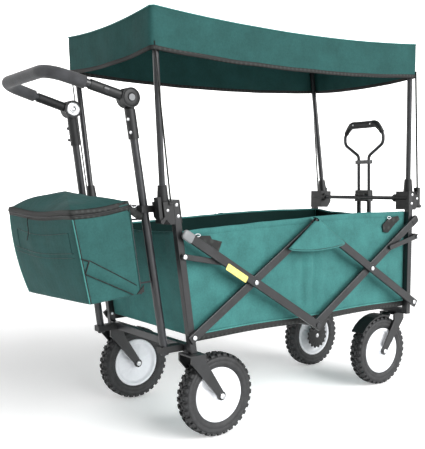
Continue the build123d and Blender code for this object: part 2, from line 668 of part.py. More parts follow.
# ---------------------------------------------------------------- pull handle
def make_pull_handle():
    tubes = []
    for side in NEAR_FAR:
        y = side * PULL_TUBE_Y
        tube = rod((PULL_X, y, PULL_PIVOT_Z - 14), (PULL_X, y, PULL_BLOCK_TOP - 4), PULL_OUTER_R)
        tube -= rod((PULL_X, y, PULL_PIVOT_Z + 12), (PULL_X, y, PULL_BLOCK_TOP), PULL_INNER_R + 0.1)
        tube -= cross_rod(PULL_X, PULL_PIVOT_Z, y - 12, y + 12, PIN_R)
        tubes.append(tube)
    keep("pull_outer_tubes", *tubes)
    reach = PULL_TUBE_Y + PULL_OUTER_R + 1 + 4
    keep("pull_pivot_bolt", cross_rod(PULL_X, PULL_PIVOT_Z, -reach - 4, reach + 4, PIN_R))

    clip = block((PULL_X - 12, PULL_X + 12), (-32, 32), (PULL_BLOCK_LOW, PULL_BLOCK_TOP))
    for side in NEAR_FAR:
        clip -= rod((PULL_X, side * PULL_TUBE_Y, PULL_BLOCK_LOW - 5),
                    (PULL_X, side * PULL_TUBE_Y, PULL_BLOCK_TOP - 4), PULL_OUTER_R)
        clip -= rod((PULL_X, side * PULL_TUBE_Y, PULL_BLOCK_TOP - 6),
                    (PULL_X, side * PULL_TUBE_Y, PULL_BLOCK_TOP + 5), PULL_INNER_R + 0.1)
    bar_x, bar_z = along(PULL, UPPER_BAR_UP)
    jaw = block((bar_x, PULL_X - 12), (-20, 20), (bar_z - 13, bar_z + 13))
    slot = UPPER_BAR_R + CLIP_GAP
    jaw -= block((bar_x - 20, bar_x), (-25, 25), (bar_z - slot, bar_z + slot))
    jaw -= cross_rod(bar_x, bar_z, -25, 25, slot)
    keep("pull_handle_clip", clip + jaw)

    low = PULL_BLOCK_TOP - PULL_INNER_DEEP
    points = []
    for side in NEAR_FAR:
        leg = [Vector(PULL_X, side * PULL_TUBE_Y, low), Vector(PULL_X, side * PULL_TUBE_Y, PULL_COLLAR_Z + 20),
               Vector(PULL_X, side * PULL_LOOP_Y, PULL_LOOP_Z - 18), Vector(PULL_X, side * PULL_LOOP_Y, PULL_LOOP_Z + 14),
               Vector(PULL_X, side * (PULL_LOOP_Y - 34), PULL_GRIP_Z)]
        points.extend(leg if side == -1 else reversed(leg))
    loop_path = FilletPolyline(*points, radius=[18, 26, 22, 22, 22, 22, 26, 18])
    loop = sweep(Plane(origin=loop_path @ 0, z_dir=loop_path % 0) * Circle(PULL_INNER_R), loop_path)
    grip = cross_rod(PULL_X, PULL_GRIP_Z, -PULL_LOOP_Y + 44, PULL_LOOP_Y - 44, PULL_GRIP_R)
    keep("pull_grip", grip - loop)
    collar = block((PULL_X - 9, PULL_X + 9), (-34, 34), (PULL_COLLAR_Z - 9, PULL_COLLAR_Z + 5))
    keep("pull_loop_tube", loop, collar - loop)


make_end_frame(PUSH, "push")
make_end_frame(PULL, "pull")
for which, word in ((PUSH, "push"), (PULL, "pull")):
    make_brackets_and_poles(which, word)
    make_levers(which, word)
    make_scissors(which, word)
    make_links(which, word)
    for hand, side_word in zip(NEAR_FAR, ("near", "far")):
        make_caster(which, hand, f"{word}_{side_word}")
for hand, side_word in zip(NEAR_FAR, ("near", "far")):
    make_brake(hand, f"pull_{side_word}")
make_centre_tube()
make_canopy()
make_liner()
make_push_tubes()
make_push_handle()
make_bag()
make_pull_handle()

# ---------------------------------------------------------------- origin and files
boxes = [solid.bounding_box() for node in made.values() for solid in node]
low_x = min(box.min.X for box in boxes)
high_x = max(box.max.X for box in boxes)
SHIFT = round(-(low_x + high_x) / 2, 1)

os.makedirs("parts", exist_ok=True)
for node, solids in made.items():
    moved = [Pos(SHIFT, 0, 0) * solid for solid in solids]
    shape = moved[0] if len(moved) == 1 else Compound(children=moved)
    export_step(shape, f"parts/{node}.step")
print("nodes", len(made), "shift", SHIFT, "x", round(low_x, 2), round(high_x, 2))
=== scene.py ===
"""Folding canvas wagon: its fabric, wheels, fittings and finishes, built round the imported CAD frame."""
import math
import bpy
from mathutils import Matrix, Vector, noise


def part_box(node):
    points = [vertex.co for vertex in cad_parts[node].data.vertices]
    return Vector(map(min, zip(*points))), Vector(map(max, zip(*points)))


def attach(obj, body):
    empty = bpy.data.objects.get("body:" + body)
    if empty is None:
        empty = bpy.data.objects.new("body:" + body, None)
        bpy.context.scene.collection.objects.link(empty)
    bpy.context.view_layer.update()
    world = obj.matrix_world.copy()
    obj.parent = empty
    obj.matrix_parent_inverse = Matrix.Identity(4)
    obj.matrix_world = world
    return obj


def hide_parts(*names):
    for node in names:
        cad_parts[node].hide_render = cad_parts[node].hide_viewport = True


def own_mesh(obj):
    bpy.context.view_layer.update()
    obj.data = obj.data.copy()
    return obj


bl_info = {
    "name": "Folding Canvas Wagon",
    "version": (1, 0, 0),
    "blender": (4, 5, 0),
    "location": "View3D > Sidebar > Wagon",
    "description": "Builds the fabric, wheels, fittings and finishes of a folding canvas wagon",
    "category": "Add Mesh",
}

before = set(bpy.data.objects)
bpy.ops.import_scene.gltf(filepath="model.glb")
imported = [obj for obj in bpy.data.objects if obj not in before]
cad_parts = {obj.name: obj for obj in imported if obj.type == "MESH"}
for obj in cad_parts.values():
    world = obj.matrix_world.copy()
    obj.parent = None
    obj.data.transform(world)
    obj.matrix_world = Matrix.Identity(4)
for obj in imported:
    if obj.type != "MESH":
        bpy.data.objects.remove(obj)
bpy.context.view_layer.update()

MM = 0.001
TURN = 2 * math.pi
NEAR_FAR = {"near": -1, "far": 1}
BAR_SLOPE = math.radians(32.5)      # of the scissor bars with the wagon open


# ------------------------------------------------------------------ user settings
class WagonFabricSettings(bpy.types.PropertyGroup):
    outer_shade: bpy.props.StringProperty(
        name="Fabric", description="Colour of the basket, bag and canopy fabric, as sRGB hex",
        default="3a6f6c")
    inner_shade: bpy.props.StringProperty(
        name="Lining", description="Colour of the fabric's coated inner side, as sRGB hex", default="0f3a37")
    trim_shade: bpy.props.StringProperty(
        name="Trim", description="Colour of the bindings and webbing, as sRGB hex", default="131514")
    cloth: bpy.props.FloatProperty(
        name="Cloth thickness", description="Thickness of the fabric", default=1.2 * MM, unit="LENGTH")
    canopy_sag: bpy.props.FloatProperty(
        name="Canopy sag", description="How far the canopy's long edges hang below its corners",
        default=19 * MM, unit="LENGTH")
    hem_width: bpy.props.FloatProperty(
        name="Hem width", description="Width of the black bound hem", default=11 * MM, unit="LENGTH")
    fold_depth: bpy.props.FloatProperty(
        name="Fold depth", description="Depth of the hanging folds in the basket's sides",
        default=5 * MM, unit="LENGTH")


class WagonWheelSettings(bpy.types.PropertyGroup):
    tread_blocks: bpy.props.IntProperty(
        name="Tread blocks", description="Blocks round each shoulder of a tyre", default=34, min=12, max=60)
    block_height: bpy.props.FloatProperty(
        name="Block height", description="Height of a tread block over the carcass",
        default=5 * MM, unit="LENGTH")
    spokes: bpy.props.IntProperty(
        name="Spoke wedges", description="Raised wedges round each wheel", default=8, min=3, max=16)
    rubber_shade: bpy.props.StringProperty(
        name="Rubber", description="Colour of the tyres, as sRGB hex", default="1d1e1f")
    wheel_shade: bpy.props.StringProperty(
        name="Wheel", description="Colour of the wheels, as sRGB hex", default="eceef2")


class WagonFrameSettings(bpy.types.PropertyGroup):
    coat_shade: bpy.props.StringProperty(
        name="Powder coat", description="Colour of the tubes, as sRGB hex", default="1c1d20")
    plastic_shade: bpy.props.StringProperty(
        name="Plastic", description="Colour of the moulded fittings, as sRGB hex", default="151617")
    label_shade: bpy.props.StringProperty(
        name="Label", description="Colour of the blank label, as sRGB hex", default="f0e27a")


class WagonStageSettings(bpy.types.PropertyGroup):
    lens: bpy.props.FloatProperty(
        name="Lens", description="Focal length on a 36 mm sensor, in millimetres", default=57.84)
    key_power: bpy.props.FloatProperty(
        name="Key light", description="Strength of the main light, in watts per square metre", default=4.6)
    fill_light: bpy.props.FloatProperty(
        name="Room light", description="Strength of the even white light", default=0.24)
    floor_glow: bpy.props.FloatProperty(
        name="Floor glow", description="Light that the white floor gives off, so that it stays pale",
        default=0.24)


# ------------------------------------------------------------------ materials
def linear(shade, alpha=1.0):
    """An sRGB hex colour as linear RGBA."""
    parts = [int(shade[i:i + 2], 16) / 255 for i in (0, 2, 4)]
    return [c / 12.92 if c <= 0.04045 else ((c + 0.055) / 1.055) ** 2.4 for c in parts] + [alpha]


def shaded(shade, factor):
    """A hex colour made lighter or darker."""
    return "".join(f"{max(0, min(255, round(int(shade[i:i + 2], 16) * factor))):02x}" for i in (0, 2, 4))


def add_node(tree, kind, feeds=None, **settings):
    """Add one node, set it up, and give each named input a value or a link."""
    made = tree.nodes.new(kind)
    for name, value in settings.items():
        setattr(made, name, value)
    for socket, value in (feeds or {}).items():
        if isinstance(value, bpy.types.NodeSocket):
            tree.links.new(value, made.inputs[socket])
        else:
            made.inputs[socket].default_value = value
    return made


MADE = {}


def material(name, build, *args):
    """Make a material once; build() gets its empty tree and returns the surface shader's socket."""
    if name not in MADE:
        made = bpy.data.materials.new(name)
        made.use_nodes = True
        tree = made.node_tree
        tree.nodes.clear()
        surface = build(tree, *args)
        add_node(tree, "ShaderNodeOutputMaterial", {"Surface": surface})
        MADE[name] = made
    return MADE[name]


def per_metre(size_mm):
    """Texture scale that repeats once per size_mm."""
    return 1 / (size_mm * MM)


def shade_range(tree, factor, dark, light, low=0.3, high=0.7):
    ramp = add_node(tree, "ShaderNodeValToRGB", {"Fac": factor})
    ramp.color_ramp.elements[0].position, ramp.color_ramp.elements[1].position = low, high
    ramp.color_ramp.elements[0].color, ramp.color_ramp.elements[1].color = linear(dark), linear(light)
    return ramp.outputs["Color"]


def woven_polyester(tree, shade, glow, sheen):
    # 600D oxford polyester, plain woven and coated: dull, faintly cross-grained, with soft creases.
    # Threads are 0.6 mm apart; they are drawn 3 mm apart so that the grain shows.
    place = add_node(tree, "ShaderNodeTexCoord").outputs["Object"]
    grain = None
    for axis in "XYZ":
        thread = add_node(tree, "ShaderNodeTexWave",
                          {"Vector": place, "Scale": per_metre(3) / 20, "Distortion": 1.2,
                           "Detail": 1.0, "Detail Scale": 2.0},
                          wave_type="BANDS", bands_direction=axis, wave_profile="SIN").outputs["Fac"]
        grain = thread if grain is None else add_node(
            tree, "ShaderNodeMath", {0: grain, 1: thread}, operation="ADD").outputs[0]
    cloudy = add_node(tree, "ShaderNodeTexNoise",
                      {"Vector": place, "Scale": per_metre(70), "Detail": 5.0,
                       "Roughness": 0.62}).outputs["Fac"]
    slub = add_node(tree, "ShaderNodeTexNoise",
                    {"Vector": place, "Scale": per_metre(5), "Detail": 2.0}).outputs["Fac"]
    mottle = add_node(tree, "ShaderNodeMix", {"Factor": 0.35, 2: cloudy, 3: slub}).outputs[0]
    base = shade_range(tree, mottle, shaded(shade, 0.86), shaded(shade, 1.1))
    crease = add_node(tree, "ShaderNodeTexNoise",
                      {"Vector": place, "Scale": per_metre(110), "Detail": 3.0,
                       "Distortion": 0.6}).outputs["Fac"]
    soft = add_node(tree, "ShaderNodeBump",
                    {"Strength": 0.35, "Distance": 9 * MM, "Height": crease}).outputs[0]
    normal = add_node(tree, "ShaderNodeBump",
                      {"Strength": 0.25, "Distance": 0.5 * MM, "Height": grain, "Normal": soft}).outputs[0]
    cloth = add_node(tree, "ShaderNodeBsdfPrincipled",
                     {"Base Color": base, "Roughness": 0.72, "IOR": 1.45, "Specular IOR Level": 0.12,
                      "Sheen Weight": sheen, "Sheen Roughness": 0.5, "Normal": normal}).outputs[0]
    if not glow:
        return cloth
    through = add_node(tree, "ShaderNodeBsdfTranslucent",
                       {"Color": linear(shaded(shade, 1.25)), "Normal": normal})
    return add_node(tree, "ShaderNodeMixShader", {0: glow, 1: cloth, 2: through.outputs[0]}).outputs[0]


def ribbed_webbing(tree, shade, rib_mm):
    # Woven polypropylene webbing: flat black with a low cross rib and a dull edge to its shine.
    place = add_node(tree, "ShaderNodeTexCoord").outputs["Object"]
    ribs = None
    for axis in "XZ":
        rib = add_node(tree, "ShaderNodeTexWave", {"Vector": place, "Scale": per_metre(rib_mm) / 20},
                       bands_direction=axis).outputs["Fac"]
        ribs = rib if ribs is None else add_node(
            tree, "ShaderNodeMath", {0: ribs, 1: rib}, operation="MULTIPLY").outputs[0]
    base = shade_range(tree, ribs, shaded(shade, 0.7), shaded(shade, 2.1), 0.25, 0.95)
    normal = add_node(tree, "ShaderNodeBump",
                      {"Strength": 0.6, "Distance": 0.8 * MM, "Height": ribs}).outputs[0]
    return add_node(tree, "ShaderNodeBsdfPrincipled",
                    {"Base Color": base, "Roughness": 0.7, "IOR": 1.49, "Normal": normal}).outputs[0]


def powder_coated_steel(tree, shade):
    # Mild steel tube, polyester powder coat: semi-gloss black, orange peel 2 mm across, edges a little
    # rounded in the shading.
    place = add_node(tree, "ShaderNodeTexCoord").outputs["Object"]
    peel = add_node(tree, "ShaderNodeTexNoise",
                    {"Vector": place, "Scale": per_metre(2), "Detail": 2.0}).outputs["Fac"]
    dust = add_node(tree, "ShaderNodeTexNoise",
                    {"Vector": place, "Scale": per_metre(45), "Detail": 6.0, "Roughness": 0.7}).outputs["Fac"]
    base = shade_range(tree, dust, shaded(shade, 0.8), shaded(shade, 1.5), 0.35, 0.75)
    matt = add_node(tree, "ShaderNodeMapRange", {"Value": dust, 3: 0.3, 4: 0.46}).outputs[0]
    edge = add_node(tree, "ShaderNodeBevel", {"Radius": 1.6 * MM}, samples=4).outputs[0]
    normal = add_node(tree, "ShaderNodeBump",
                      {"Strength": 0.12, "Distance": 0.3 * MM, "Height": peel, "Normal": edge}).outputs[0]
    return add_node(tree, "ShaderNodeBsdfPrincipled",
                    {"Base Color": base, "Roughness": matt, "IOR": 1.5, "Coat Weight": 0.25,
                     "Coat Roughness": 0.25, "Normal": normal}).outputs[0]


def moulded_plastic(tree, shade, matt, grain_mm):
    # Injection-moulded polypropylene or ABS: fine spark grain, slightly uneven shine.
    place = add_node(tree, "ShaderNodeTexCoord").outputs["Object"]
    grain = add_node(tree, "ShaderNodeTexNoise",
                     {"Vector": place, "Scale": per_metre(grain_mm), "Detail": 3.0}).outputs["Fac"]
    wear = add_node(tree, "ShaderNodeTexNoise",
                    {"Vector": place, "Scale": per_metre(30), "Detail": 5.0}).outputs["Fac"]
    base = shade_range(tree, wear, shaded(shade, 0.98), shade)
    shine = add_node(tree, "ShaderNodeMapRange", {"Value": wear, 3: matt - 0.04, 4: matt + 0.05}).outputs[0]
    edge = add_node(tree, "ShaderNodeBevel", {"Radius": 1.2 * MM}, samples=4).outputs[0]
    normal = add_node(tree, "ShaderNodeBump",
                      {"Strength": 0.2, "Distance": 0.25 * MM, "Height": grain, "Normal": edge}).outputs[0]
    return add_node(tree, "ShaderNodeBsdfPrincipled",
                    {"Base Color": base, "Roughness": shine, "IOR": 1.49, "Normal": normal}).outputs[0]


def tyre_rubber(tree, shade):
    # Carbon-black rubber, moulded: matt, dusted grey where it has rolled.
    place = add_node(tree, "ShaderNodeTexCoord").outputs["Object"]
    dust = add_node(tree, "ShaderNodeTexNoise",
                    {"Vector": place, "Scale": per_metre(18), "Detail": 6.0,
                     "Roughness": 0.65}).outputs["Fac"]
    skin = add_node(tree, "ShaderNodeTexNoise",
                    {"Vector": place, "Scale": per_metre(1.5), "Detail": 2.0}).outputs["Fac"]
    base = shade_range(tree, dust, shaded(shade, 0.75), shaded(shade, 1.55), 0.35, 0.72)
    normal = add_node(tree, "ShaderNodeBump",
                      {"Strength": 0.3, "Distance": 0.4 * MM, "Height": skin}).outputs[0]
    return add_node(tree, "ShaderNodeBsdfPrincipled",
                    {"Base Color": base, "Roughness": 0.62, "IOR": 1.52, "Normal": normal}).outputs[0]


def eva_foam(tree, shade):
    # Closed-cell EVA foam sleeve: very dull charcoal with 1.5 mm pores.
    place = add_node(tree, "ShaderNodeTexCoord").outputs["Object"]
    pores = add_node(tree, "ShaderNodeTexVoronoi",
                     {"Vector": place, "Scale": per_metre(1.5)}).outputs["Distance"]
    worn = add_node(tree, "ShaderNodeTexNoise",
                    {"Vector": place, "Scale": per_metre(25), "Detail": 4.0}).outputs["Fac"]
    base = shade_range(tree, worn, shaded(shade, 0.85), shaded(shade, 1.2))
    normal = add_node(tree, "ShaderNodeBump",
                      {"Strength": 0.5, "Distance": 0.4 * MM, "Height": pores}).outputs[0]
    return add_node(tree, "ShaderNodeBsdfPrincipled",
                    {"Base Color": base, "Roughness": 0.85, "IOR": 1.45, "Sheen Weight": 0.25,
                     "Normal": normal}).outputs[0]


def zinc_plated_steel(tree, shade):
    # Bright zinc on cold-headed steel: near-white metal, finely brushed by tumbling.
    place = add_node(tree, "ShaderNodeTexCoord").outputs["Object"]
    tumble = add_node(tree, "ShaderNodeTexNoise",
                      {"Vector": place, "Scale": per_metre(2.5), "Detail": 4.0}).outputs["Fac"]
    base = shade_range(tree, tumble, shaded(shade, 0.88), shade)
    dull = add_node(tree, "ShaderNodeMapRange", {"Value": tumble, 3: 0.28, 4: 0.45}).outputs[0]
    return add_node(tree, "ShaderNodeBsdfPrincipled",
                    {"Base Color": base, "Metallic": 1.0, "Roughness": dull}).outputs[0]


def vinyl_film(tree, shade):
    # Printed PVC film with no print on it: flat colour, faint handling marks, low gloss.
    place = add_node(tree, "ShaderNodeTexCoord").outputs["Object"]
    marks = add_node(tree, "ShaderNodeTexNoise",
                     {"Vector": place, "Scale": per_metre(6), "Detail": 6.0, "Roughness": 0.7}).outputs["Fac"]
    base = shade_range(tree, marks, shaded(shade, 0.82), shade, 0.3, 0.6)
    return add_node(tree, "ShaderNodeBsdfPrincipled",
                    {"Base Color": base, "Roughness": 0.4, "IOR": 1.53}).outputs[0]


def painted_studio(tree, shade, glow):
    # Matt white paint on a studio floor, with barely visible roller marks, lit a little from within.
    place = add_node(tree, "ShaderNodeTexCoord").outputs["Object"]
    marks = add_node(tree, "ShaderNodeTexNoise",
                     {"Vector": place, "Scale": 2.0, "Detail": 2.0}).outputs["Fac"]
    base = shade_range(tree, marks, shaded(shade, 0.995), shade)
    return add_node(tree, "ShaderNodeBsdfPrincipled",
                    {"Base Color": base, "Roughness": 0.9, "Emission Color": linear(shade),
                     "Emission Strength": glow}).outputs[0]


def finish(name):
    """The wagon's finishes by name."""
    scene = bpy.context.scene
    fabric, wheel, steel = scene.wagon_fabric, scene.wagon_wheels, scene.wagon_frame
    recipes = {
        "basket_oxford_polyester": (woven_polyester, fabric.outer_shade, 0.0, 0.04),
        # canopy: the basket's fabric drawn darker, as painted shade
        "canopy_oxford_polyester": (woven_polyester, shaded(fabric.outer_shade, 0.74), 0.1, 0.0),
        # bag: the basket's fabric drawn darker, as painted shade
        "bag_oxford_polyester": (woven_polyester, shaded(fabric.outer_shade, 0.74), 0.0, 0.02),
        "lining_oxford_polyester": (woven_polyester, shaded(fabric.inner_shade, 0.6), 0.0, 0.0),
        "seam_oxford_polyester": (woven_polyester, shaded(fabric.outer_shade, 0.6), 0.0, 0.2),
        "piping_polyester": (woven_polyester, shaded(fabric.outer_shade, 1.15), 0.0, 0.15),
        "binding_polyester": (ribbed_webbing, fabric.trim_shade, 2.5),
        "webbing_polypropylene": (ribbed_webbing, fabric.trim_shade, 4.0),
        "powder_coated_steel": (powder_coated_steel, steel.coat_shade),
        # a darker copy of the powder coat, as painted shade
        "powder_coated_steel_painted_shade": (powder_coated_steel, shaded(steel.coat_shade, 0.75)),
        "moulded_black_polypropylene": (moulded_plastic, steel.plastic_shade, 0.5, 1.0),
        "moulded_grey_abs": (moulded_plastic, "77797b", 0.45, 1.0),
        "moulded_white_polypropylene": (moulded_plastic, wheel.wheel_shade, 0.35, 1.2),
        "moulded_rubber": (tyre_rubber, wheel.rubber_shade),
        "grip_rubber": (tyre_rubber, "161616"),
        "eva_foam": (eva_foam, "303134"),
        "zinc_plated_steel": (zinc_plated_steel, "f2f3f5"),
        "vinyl_label_film": (vinyl_film, steel.label_shade),
        "studio_paint": (painted_studio, "ffffff", scene.wagon_stage.floor_glow),
    }
    return material(name, *recipes[name])


SLOT_FINISH = {
    "black_tube": "powder_coated_steel", "black_plastic": "moulded_black_polypropylene",
    "zinc_fastener": "zinc_plated_steel", "grey_plastic": "moulded_grey_abs",
    "white_plastic": "moulded_white_polypropylene", "tyre_rubber": "moulded_rubber",
    "foam": "eva_foam", "grip_rubber": "grip_rubber", "green_canvas": "basket_oxford_polyester",
    "floor_mat": "lining_oxford_polyester",
}


# ------------------------------------------------------------------ mesh makers
def piece(name, verts, faces, look, body, slot=None, smooth=True, solid=0.0, divide=0, bevel=0.0,
          stands_for=()):
    """A new mesh piece, in the frame's own metres, that rides on a CAD body."""
    mesh = bpy.data.meshes.new(name)
    mesh.from_pydata([tuple(v) for v in verts], [], faces)
    mesh.validate()
    mesh.polygons.foreach_set("use_smooth", [smooth] * len(mesh.polygons))
    made = bpy.data.objects.new(name, mesh)
    bpy.context.scene.collection.objects.link(made)
    mesh.materials.append(finish(look))
    if solid:
        thick = made.modifiers.new("thickness", "SOLIDIFY")
        thick.thickness, thick.offset = solid, 0.0
    if bevel:
        rounded = made.modifiers.new("rounded", "BEVEL")
        rounded.width, rounded.segments, rounded.limit_method = bevel, 2, "ANGLE"
    if divide:
        fine = made.modifiers.new("smooth", "SUBSURF")
        fine.levels = fine.render_levels = divide
    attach(made, body)
    if stands_for:
        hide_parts(*stands_for)
    return made


def rows_to_faces(rows, columns, closed):
    """Quads over a grid of rows of vertices; closed joins each row's ends."""
    faces = []
    for r in range(rows - 1):
        for c in range(columns if closed else columns - 1):
            a, b = r * columns + c, r * columns + (c + 1) % columns
            faces.append((a, b, b + columns, a + columns))
    return faces


def grid(rows, closed=False):
    """Vertices and faces of a grid given as rows of points."""
    return [p for row in rows for p in row], rows_to_faces(len(rows), len(rows[0]), closed)


def looped_grid(rows):
    """A grid whose rows are rings and whose last row joins its first."""
    verts, faces = grid(rows, closed=True)
    n, last = len(rows[0]), len(verts) - len(rows[0])
    faces += [(last + k, last + (k + 1) % n, (k + 1) % n, k) for k in range(n)]
    return verts, faces


def capped_grid(rows, first=False, last=False):
    """A grid whose rows are rings, with one face over its first ring, its last or both."""
    verts, faces = grid(rows, closed=True)
    n = len(rows[0])
    if first:
        faces.append(tuple(range(n))[::-1])
    if last:
        faces.append(tuple(range(len(verts) - n, len(verts))))
    return verts, faces


def slab(lower, upper):
    """A solid between two outlines of as many points."""
    n = len(lower)
    faces = [tuple(range(n)), tuple(range(n, 2 * n))[::-1]]
    return lower + upper, faces + [(i, (i + 1) % n, n + (i + 1) % n, n + i) for i in range(n)]


def turned(profile, steps, centre, warp=None):
    """A ring turned about the Y axis through centre; profile is a closed loop of (radius, y)."""
    rows = []
    for i in range(steps):
        angle = TURN * i / steps
        row = []
        for radius, y in profile:
            if warp:
                radius, y = warp(angle, radius, y)
            row.append(Vector((centre[0] + radius * math.cos(angle), centre[1] + y,
                               centre[2] + radius * math.sin(angle))))
        rows.append(row)
    return looped_grid(rows)


def turned_cap(profile, steps, centre, facing):
    """An open profile of (radius, height) turned about Y, with a flat face over each of its ends."""
    angles = [TURN * i / steps for i in range(steps)]
    verts, faces = grid([[Vector((centre[0] + radius * math.cos(a), centre[1] + facing * height,
                                  centre[2] + radius * math.sin(a))) for a in angles]
                         for radius, height in profile], closed=True)
    faces.append(tuple(range(steps)))
    faces.append(tuple(range(len(verts) - steps, len(verts)))[::-1])
    return verts, faces


def swept(path, outline, closed=False):
    """An outline of (side, up) swept along a path of points, with flat ends."""
    path = [Vector(p) for p in path]
    rows, up = [], None
    for i, point in enumerate(path):
        ahead = path[(i + 1) % len(path)] if closed or i + 1 < len(path) else point
        behind = path[i - 1] if closed or i else point
        way = (ahead - behind).normalized()
        if up is None:
            up = Vector((0, 0, 1)) if abs(way.z) < 0.9 else Vector((0, 1, 0))
        up = (up - way * up.dot(way)).normalized()
        side = way.cross(up)
        rows.append([point + side * a + up * b for a, b in outline])
    return looped_grid(rows) if closed else capped_grid(rows, first=True, last=True)


def round_outline(radius, steps=10):
    """Cross-section of a cord or a seam."""
    return [(radius * math.cos(TURN * i / steps), radius * math.sin(TURN * i / steps)) for i in range(steps)]


def flat_outline(wide, thick):
    """Cross-section of a strap: a little narrower than wide, and thick through it."""
    w, t = wide / 2 * 0.9, thick / 2
    return [(-t, -w), (t, -w), (t, w), (-t, w)]


def joined(*parts):
    """Several (verts, faces) as one."""
    verts, faces = [], []
    for v, f in parts:
        base = len(verts)
        verts += v
        faces += [tuple(i + base for i in face) for face in f]
    return verts, faces


def block(lo, hi):
    """A box's verts and faces."""
    verts = [Vector((x, y, z)) for z in (lo[2], hi[2]) for y in (lo[1], hi[1]) for x in (lo[0], hi[0])]
    return verts, [(0, 2, 3, 1), (4, 5, 7, 6), (0, 1, 5, 4), (2, 6, 7, 3), (0, 4, 6, 2), (1, 3, 7, 5)]


def moved(part, matrix):
    """A (verts, faces) put somewhere else."""
    verts, faces = part
    return [matrix @ Vector(v) for v in verts], faces


def around(centre, wide, high, steps):
    """Points of an upright ellipse that faces along Y."""
    return [centre + Vector((wide * math.cos(TURN * k / steps), 0, high * math.sin(TURN * k / steps)))
            for k in range(steps)]


def upwards(distance):
    return Vector((0, 0, distance))


def mix(a, b, t):
    return a + (b - a) * t


def bump_between(x, a, b):
    """1 halfway between a and b, falling smoothly to 0 at both."""
    t = (x - a) / (b - a)
    return math.sin(math.pi * t) ** 2 if 0 < t < 1 else 0.0


def crumple(x, y, z, size, depth):
    """Smooth repeatable unevenness of that size and depth."""
    return depth * noise.noise(Vector((x / size, y / size, z / size)))


def along_corners(values, t):
    """A value read off evenly spaced stations, joined smoothly."""
    t = max(0.0, min(0.9999, t)) * (len(values) - 1)
    i = int(t)
    f = t - i
    return mix(values[i], values[i + 1], f * f * (3 - 2 * f))


def rounded_rectangle(x0, x1, y0, y1, corner, long_steps, short_steps):
    """Points round a rectangle from the near push corner, with eased corners: (x, y, side, share)."""
    points = []
    sides = (((x0 + corner, y0), (x1 - corner, y0), "near", long_steps),
             ((x1, y0 + corner), (x1, y1 - corner), "pull", short_steps),
             ((x1 - corner, y1), (x0 + corner, y1), "far", long_steps),
             ((x0, y1 - corner), (x0, y0 + corner), "push", short_steps))
    for (ax, ay), (bx, by), side, steps in sides:
        for i in range(steps + 1):
            t = i / steps
            points.append((mix(ax, bx, t), mix(ay, by, t), side, t))
    return points


# ------------------------------------------------------------------ places read from the frame
LINER_LOW, LINER_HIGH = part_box("basket_liner")
CANOPY_LOW, CANOPY_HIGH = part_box("canopy_cover")
BAG_LOW, BAG_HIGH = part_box("storage_bag")
MIDDLE_X = sum(p.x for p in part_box("centre_cross_tube")) / 2
BAR_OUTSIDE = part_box("push_falling_bars")[1].y


def squash_in(obj):
    """Gives the piece its own copy of its mesh."""
    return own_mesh(obj)


def squash_basket(obj):
    return squash_in(obj)


# ------------------------------------------------------------------ canopy
def canopy_point(x, y, drop, sag, away=0.0):
    """A place on the canopy: x and y run over its roof, drop goes down its skirt."""
    middle = (CANOPY_LOW + CANOPY_HIGH) / 2
    half_x, half_y = (CANOPY_HIGH.x - CANOPY_LOW.x) / 2, (CANOPY_HIGH.y - CANOPY_LOW.y) / 2
    u, v = (x - middle.x) / half_x, (y - middle.y) / half_y
    long_edge, short_edge = (1 - u * u), (1 - v * v)
    hang = sag * long_edge * (0.55 + 0.45 * v * v) + 0.7 * sag * short_edge * (0.6 + 0.4 * u * u)
    hang += 0.35 * sag * long_edge * short_edge
    inward = 0.45 * sag * (abs(v) > 0.98) * long_edge
    loose = min(1, (1 - abs(u)) * 6, (1 - abs(v)) * 4 + 0.2)
    z = CANOPY_HIGH.z - hang - drop - crumple(x, y, 0.3, 0.14, 3 * MM) * loose
    flare = drop * 0.03
    wave = 2.2 * MM * math.sin(u * 17 + v * 6) * min(1, drop / (40 * MM))
    wave += crumple(x, y, drop, 0.09, 5 * MM) * min(1, drop / (50 * MM))
    edge_y = math.copysign(1, v) if abs(v) > 0.97 else 0
    edge_x = math.copysign(1, u) if abs(u) > 0.985 else 0
    # the pull end's skirt bows in where the handle slides up past it
    bow = 14 * MM * (edge_x > 0) * short_edge * min(1, drop / (30 * MM))
    tuck = math.copysign(inward * (1 - 0.3 * drop / 0.1), v)
    return Vector((x - bow + edge_x * (away + wave * 0.8 - flare * 0.2),
                   y - tuck + edge_y * (away + wave - flare * 0.2), z))


def canopy_outline(inset, long_steps=64, short_steps=32):
    """The roof's outline, that far in from the cover's box."""
    return [(x, y) for x, y, _, _ in rounded_rectangle(
        CANOPY_LOW.x + inset, CANOPY_HIGH.x - inset, CANOPY_LOW.y + inset, CANOPY_HIGH.y - inset,
        max(2 * MM, 9 * MM - inset), long_steps, short_steps)]


